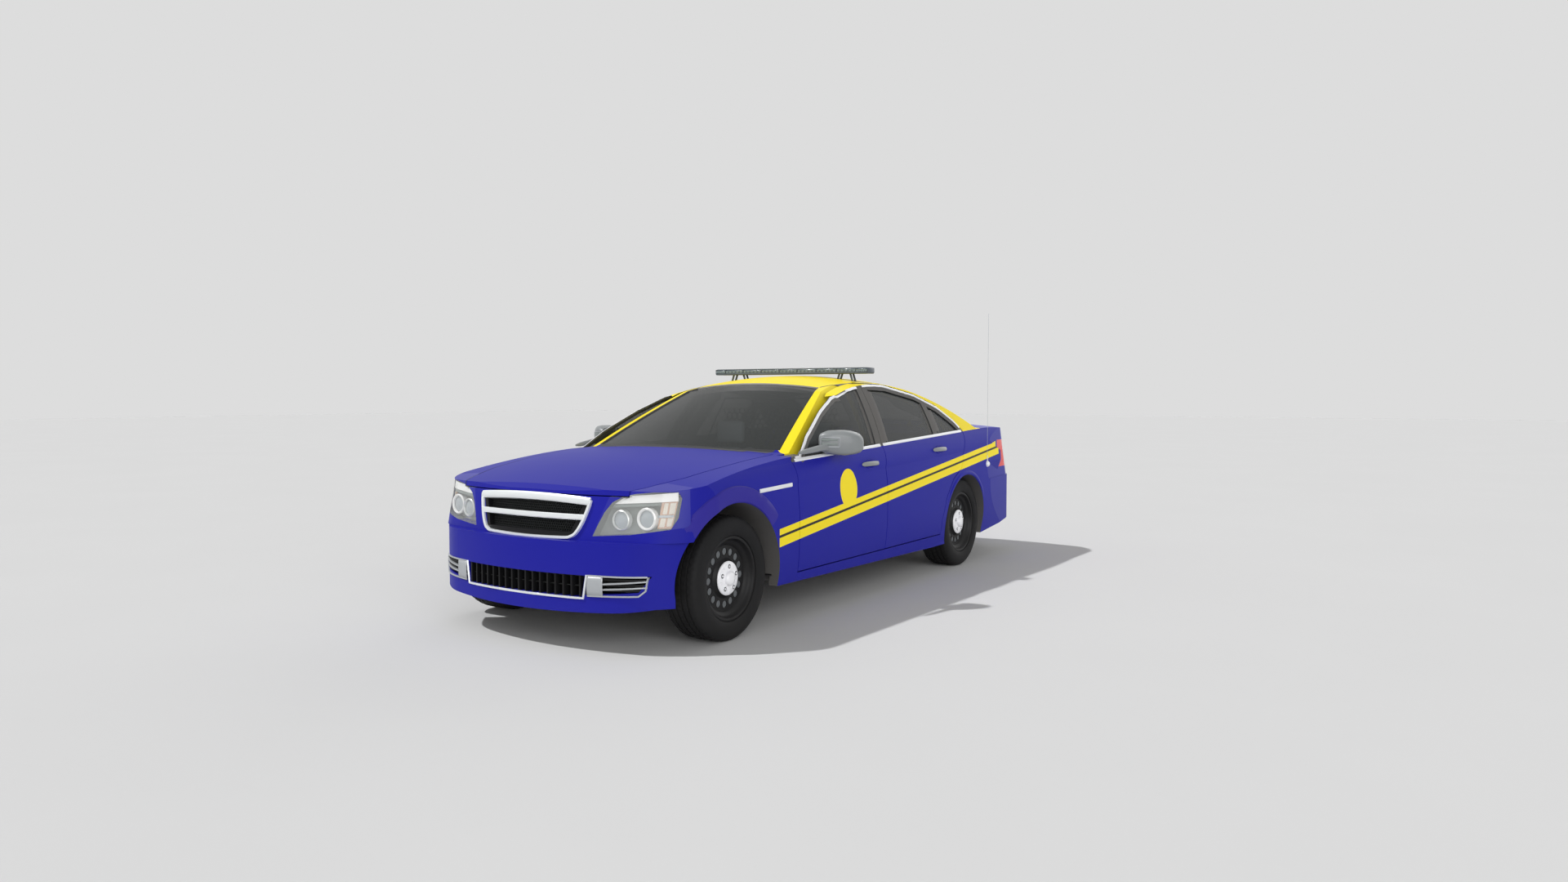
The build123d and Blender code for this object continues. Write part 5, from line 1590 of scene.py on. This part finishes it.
class PATROL_OT_cabin(bpy.types.Operator):
    """Makes the steering wheel, the dashboard details, the partition and the door linings"""

    bl_idname = "patrol.cabin"
    bl_label = "Cabin"

    def execute(self, context):
        self.wheel()
        self.dashboard()
        self.partition()
        self.linings()
        return {"FINISHED"}

    def wheel(self):
        """A rim with two spokes, a centre pad and buttons."""
        hub = at(*WHEEL_PLACE)
        axis = Vector((0, cos(WHEEL_TILT), sin(WHEEL_TILT)))
        up = Vector((0, -sin(WHEEL_TILT), cos(WHEEL_TILT)))
        side = Vector((1, 0, 0))
        rim = [hub + (side * cos(tau * k / 72) + up * sin(tau * k / 72)) * 0.1800 for k in range(72)]
        parts = [tube(rim, 0.0128, 14, closed=True)]
        pad = []
        for lift, scale in ((-0.012, 0.82), (-0.010, 0.97), (-0.002, 1.0), (0.004, 0.93), (0.006, 0.72),
                            (0.0065, 0.3)):
            pad.append(rounded_ring(lambda a, b, h=lift: hub + axis * h + side * a + up * (b - 0.004),
                                    0.058 * scale, 0.050 * scale, 36, 0.6))
        parts.append(skin_over(pad))
        for angle in (0.0, pi):
            out = side * cos(angle) + up * sin(angle)
            flat = axis.cross(out)
            rings = []
            for reach, half, thick in ((0.040, 0.0165, 0.0060), (0.090, 0.0150, 0.0055),
                                       (0.140, 0.0130, 0.0055), (0.172, 0.0165, 0.0060)):
                middle = hub + out * reach - axis * 0.004
                rings.append([middle + flat * a + axis * b for a, b in
                              ((-half, -thick), (half, -thick), (half, thick), (-half, thick))])
            parts.append(skin_over(rings))
        parts.append(turned([(-0.030, 0.025), (-0.012, 0.026)], 32, hub, axis))
        wheel = add_piece("steering_wheel_rim", *joined(*parts), "wheel leather", "steering_wheel",
                          "interior")
        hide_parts("steering_wheel")
        buttons = []
        for x in (-0.072, 0.072):
            for lift in (-0.006, 0.006):
                spot = hub + side * x + up * lift + axis * 0.0012
                buttons.append(turned([(0.0, 0.0050), (0.0022, 0.0044), (0.0026, 0.0005)], 16, spot, axis))
        add_piece("wheel_buttons", *joined(*buttons), "silver plastic", "steering_wheel", "interior")

    def dashboard(self):
        """Vents, the hood over two dials, and the console with its keys."""
        parts = []
        for x in (-640, -60, 60, 640):
            for k in range(4):
                z = 838 + k * 12
                s = 962 + (915 - z) * 0.348
                parts.append(rounded_box(at(x - 46, s - 4, z), at(x + 46, s + 3, z + 5), 0.001, 2))
        add_piece("dash_vents", *joined(*parts), "partition black", "body", "interior")
        hood = []
        for k in range(13):
            angle = pi * k / 12
            hood.append([at(SEAT_X + cos(angle) * r, s, 902 + sin(angle) * r * 0.36)
                         for s, r in ((790, 88), (870, 110), (938, 118), (948, 112), (942, 106), (880, 98))])
        add_piece("instrument_hood", *skin_over(hood), "cabin plastic", "body", "interior")
        dials = []
        for x in (SEAT_X - 52, SEAT_X + 52):
            dials.append(turned([(0.0, 0.042), (0.004, 0.041), (0.003, 0.037), (0.001, 0.0005)], 32,
                                at(x, 977, 875), (0, 1, 0.35)))
        add_piece("dials", *joined(*dials), "dial glass", "body", "interior")
        console = [rounded_box(at(-105, 905, 300), at(105, 1012, 800), 0.014),
                   rounded_box(at(-95, 990, 280), at(95, 1560, 400), 0.02)]
        add_piece("centre_console", *joined(*console), "cabin plastic", "body", "interior")
        keys = []
        for row in range(3):
            for k in range(4):
                x = -66 + k * 44
                z = 640 + row * 42
                keys.append(rounded_box(at(x - 17, 1008, z), at(x + 17, 1015, z + 28), 0.003, 2))
        add_piece("console_keys", *joined(*keys), "dial glass", "body", "interior")

    def partition(self):
        """A mesh screen in a tube frame behind the front seats, with a ribbed plate below it."""
        def place(x, z):
            return at(x, SCREEN_STATION, z)

        cells = []
        for low, high, half in ((600, 900, 640), (900, 1000, 610), (1000, 1110, 545), (1110, 1236, 475)):
            cells.append(honeycomb(46.0, 0.22, (-half, half), (low, high - 30), place, 0.008))
        mesh = add_piece("partition_mesh", *joined(*cells), "partition black", "body", "partition_steel",
                         smooth=False)
        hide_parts("partition")
        outline = [(-690, 560), (690, 560), (690, 925), (492, 1280), (-492, 1280), (-690, 925)]
        rail = [at(x, SCREEN_STATION + 4, z) for x, z in outline]
        parts = [tube(rail, 0.0075, 12, closed=True)]
        for x in (-230, 230):
            parts.append(tube([at(x, SCREEN_STATION + 4, 560), at(x, SCREEN_STATION + 4, 1280)], 0.0065, 12))
        parts.append(rounded_box(at(-690, SCREEN_STATION - 2, 268), at(690, SCREEN_STATION + 8, 556), 0.004))
        for x in range(-575, 576, 230):
            low, high = at(x - 22, SCREEN_STATION - 5, 300), at(x + 22, SCREEN_STATION, 520)
            parts.append(rounded_box(low, high, 0.0015, 2))
        add_piece("partition_frame", *joined(*parts), "partition black", "body", "partition_steel")

    def linings(self):
        """Bellied panels inside the doors, each with an arm rest."""
        for side, sign in SIDES:
            for kind, first, last in (("front", 760, 1640), ("rear", 1880, 2560)):
                tree = surface_tree(f"{kind}_door_left")
                verts = []
                columns, rows = 12, 6
                for i in range(columns + 1):
                    for j in range(rows + 1):
                        station = first + (last - first) * i / columns
                        z = 380 + 470 * j / rows
                        hit = tree.ray_cast(at(300, station, z), Vector((1, 0, 0)))[0] or at(760, station, z)
                        belly = 0.020 * sin(pi * j / rows) * min(1.0, 4 * i / columns, 4 * (1 - i / columns))
                        verts.append(hit - Vector((0.003 + belly, 0, 0)))
                faces = quads(columns + 1, rows + 1, loop=False)
                rest = rounded_box(at(700, first + 260, 600), at(756, first + 560, 648), 0.014)
                add_piece(f"door_lining_{kind}_{side}", *joined((verts, faces), rest), "cabin plastic",
                          f"door_{kind}_{side}", "interior", side=sign)


OPERATORS = (PATROL_OT_stage, PATROL_OT_materials, PATROL_OT_wheels, PATROL_OT_trim, PATROL_OT_front,
             PATROL_OT_fittings, PATROL_OT_seats, PATROL_OT_cabin)


class PATROL_PT_panel(bpy.types.Panel):
    """Lists the steps that dress the car"""

    bl_label = "Patrol car"
    bl_idname = "PATROL_PT_panel"
    bl_space_type = "VIEW_3D"
    bl_region_type = "UI"
    bl_category = "Patrol car"

    def draw(self, context):
        for settings in (context.scene.patrol_paint, context.scene.patrol_stage):
            for name in settings.__annotations__:
                self.layout.prop(settings, name)
        for operator in OPERATORS:
            self.layout.operator(operator.bl_idname)


CLASSES = (PaintSettings, StageSettings, *OPERATORS, PATROL_PT_panel)


def register():
    for item in CLASSES:
        bpy.utils.register_class(item)
    bpy.types.Scene.patrol_paint = bpy.props.PointerProperty(type=PaintSettings)
    bpy.types.Scene.patrol_stage = bpy.props.PointerProperty(type=StageSettings)


def unregister():
    del bpy.types.Scene.patrol_stage
    del bpy.types.Scene.patrol_paint
    for item in reversed(CLASSES):
        bpy.utils.unregister_class(item)


def main():
    """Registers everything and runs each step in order."""
    register()
    for operator in OPERATORS:
        group, name = operator.bl_idname.split(".")
        getattr(getattr(bpy.ops, group), name)()


if __name__ == "__main__":
    main()
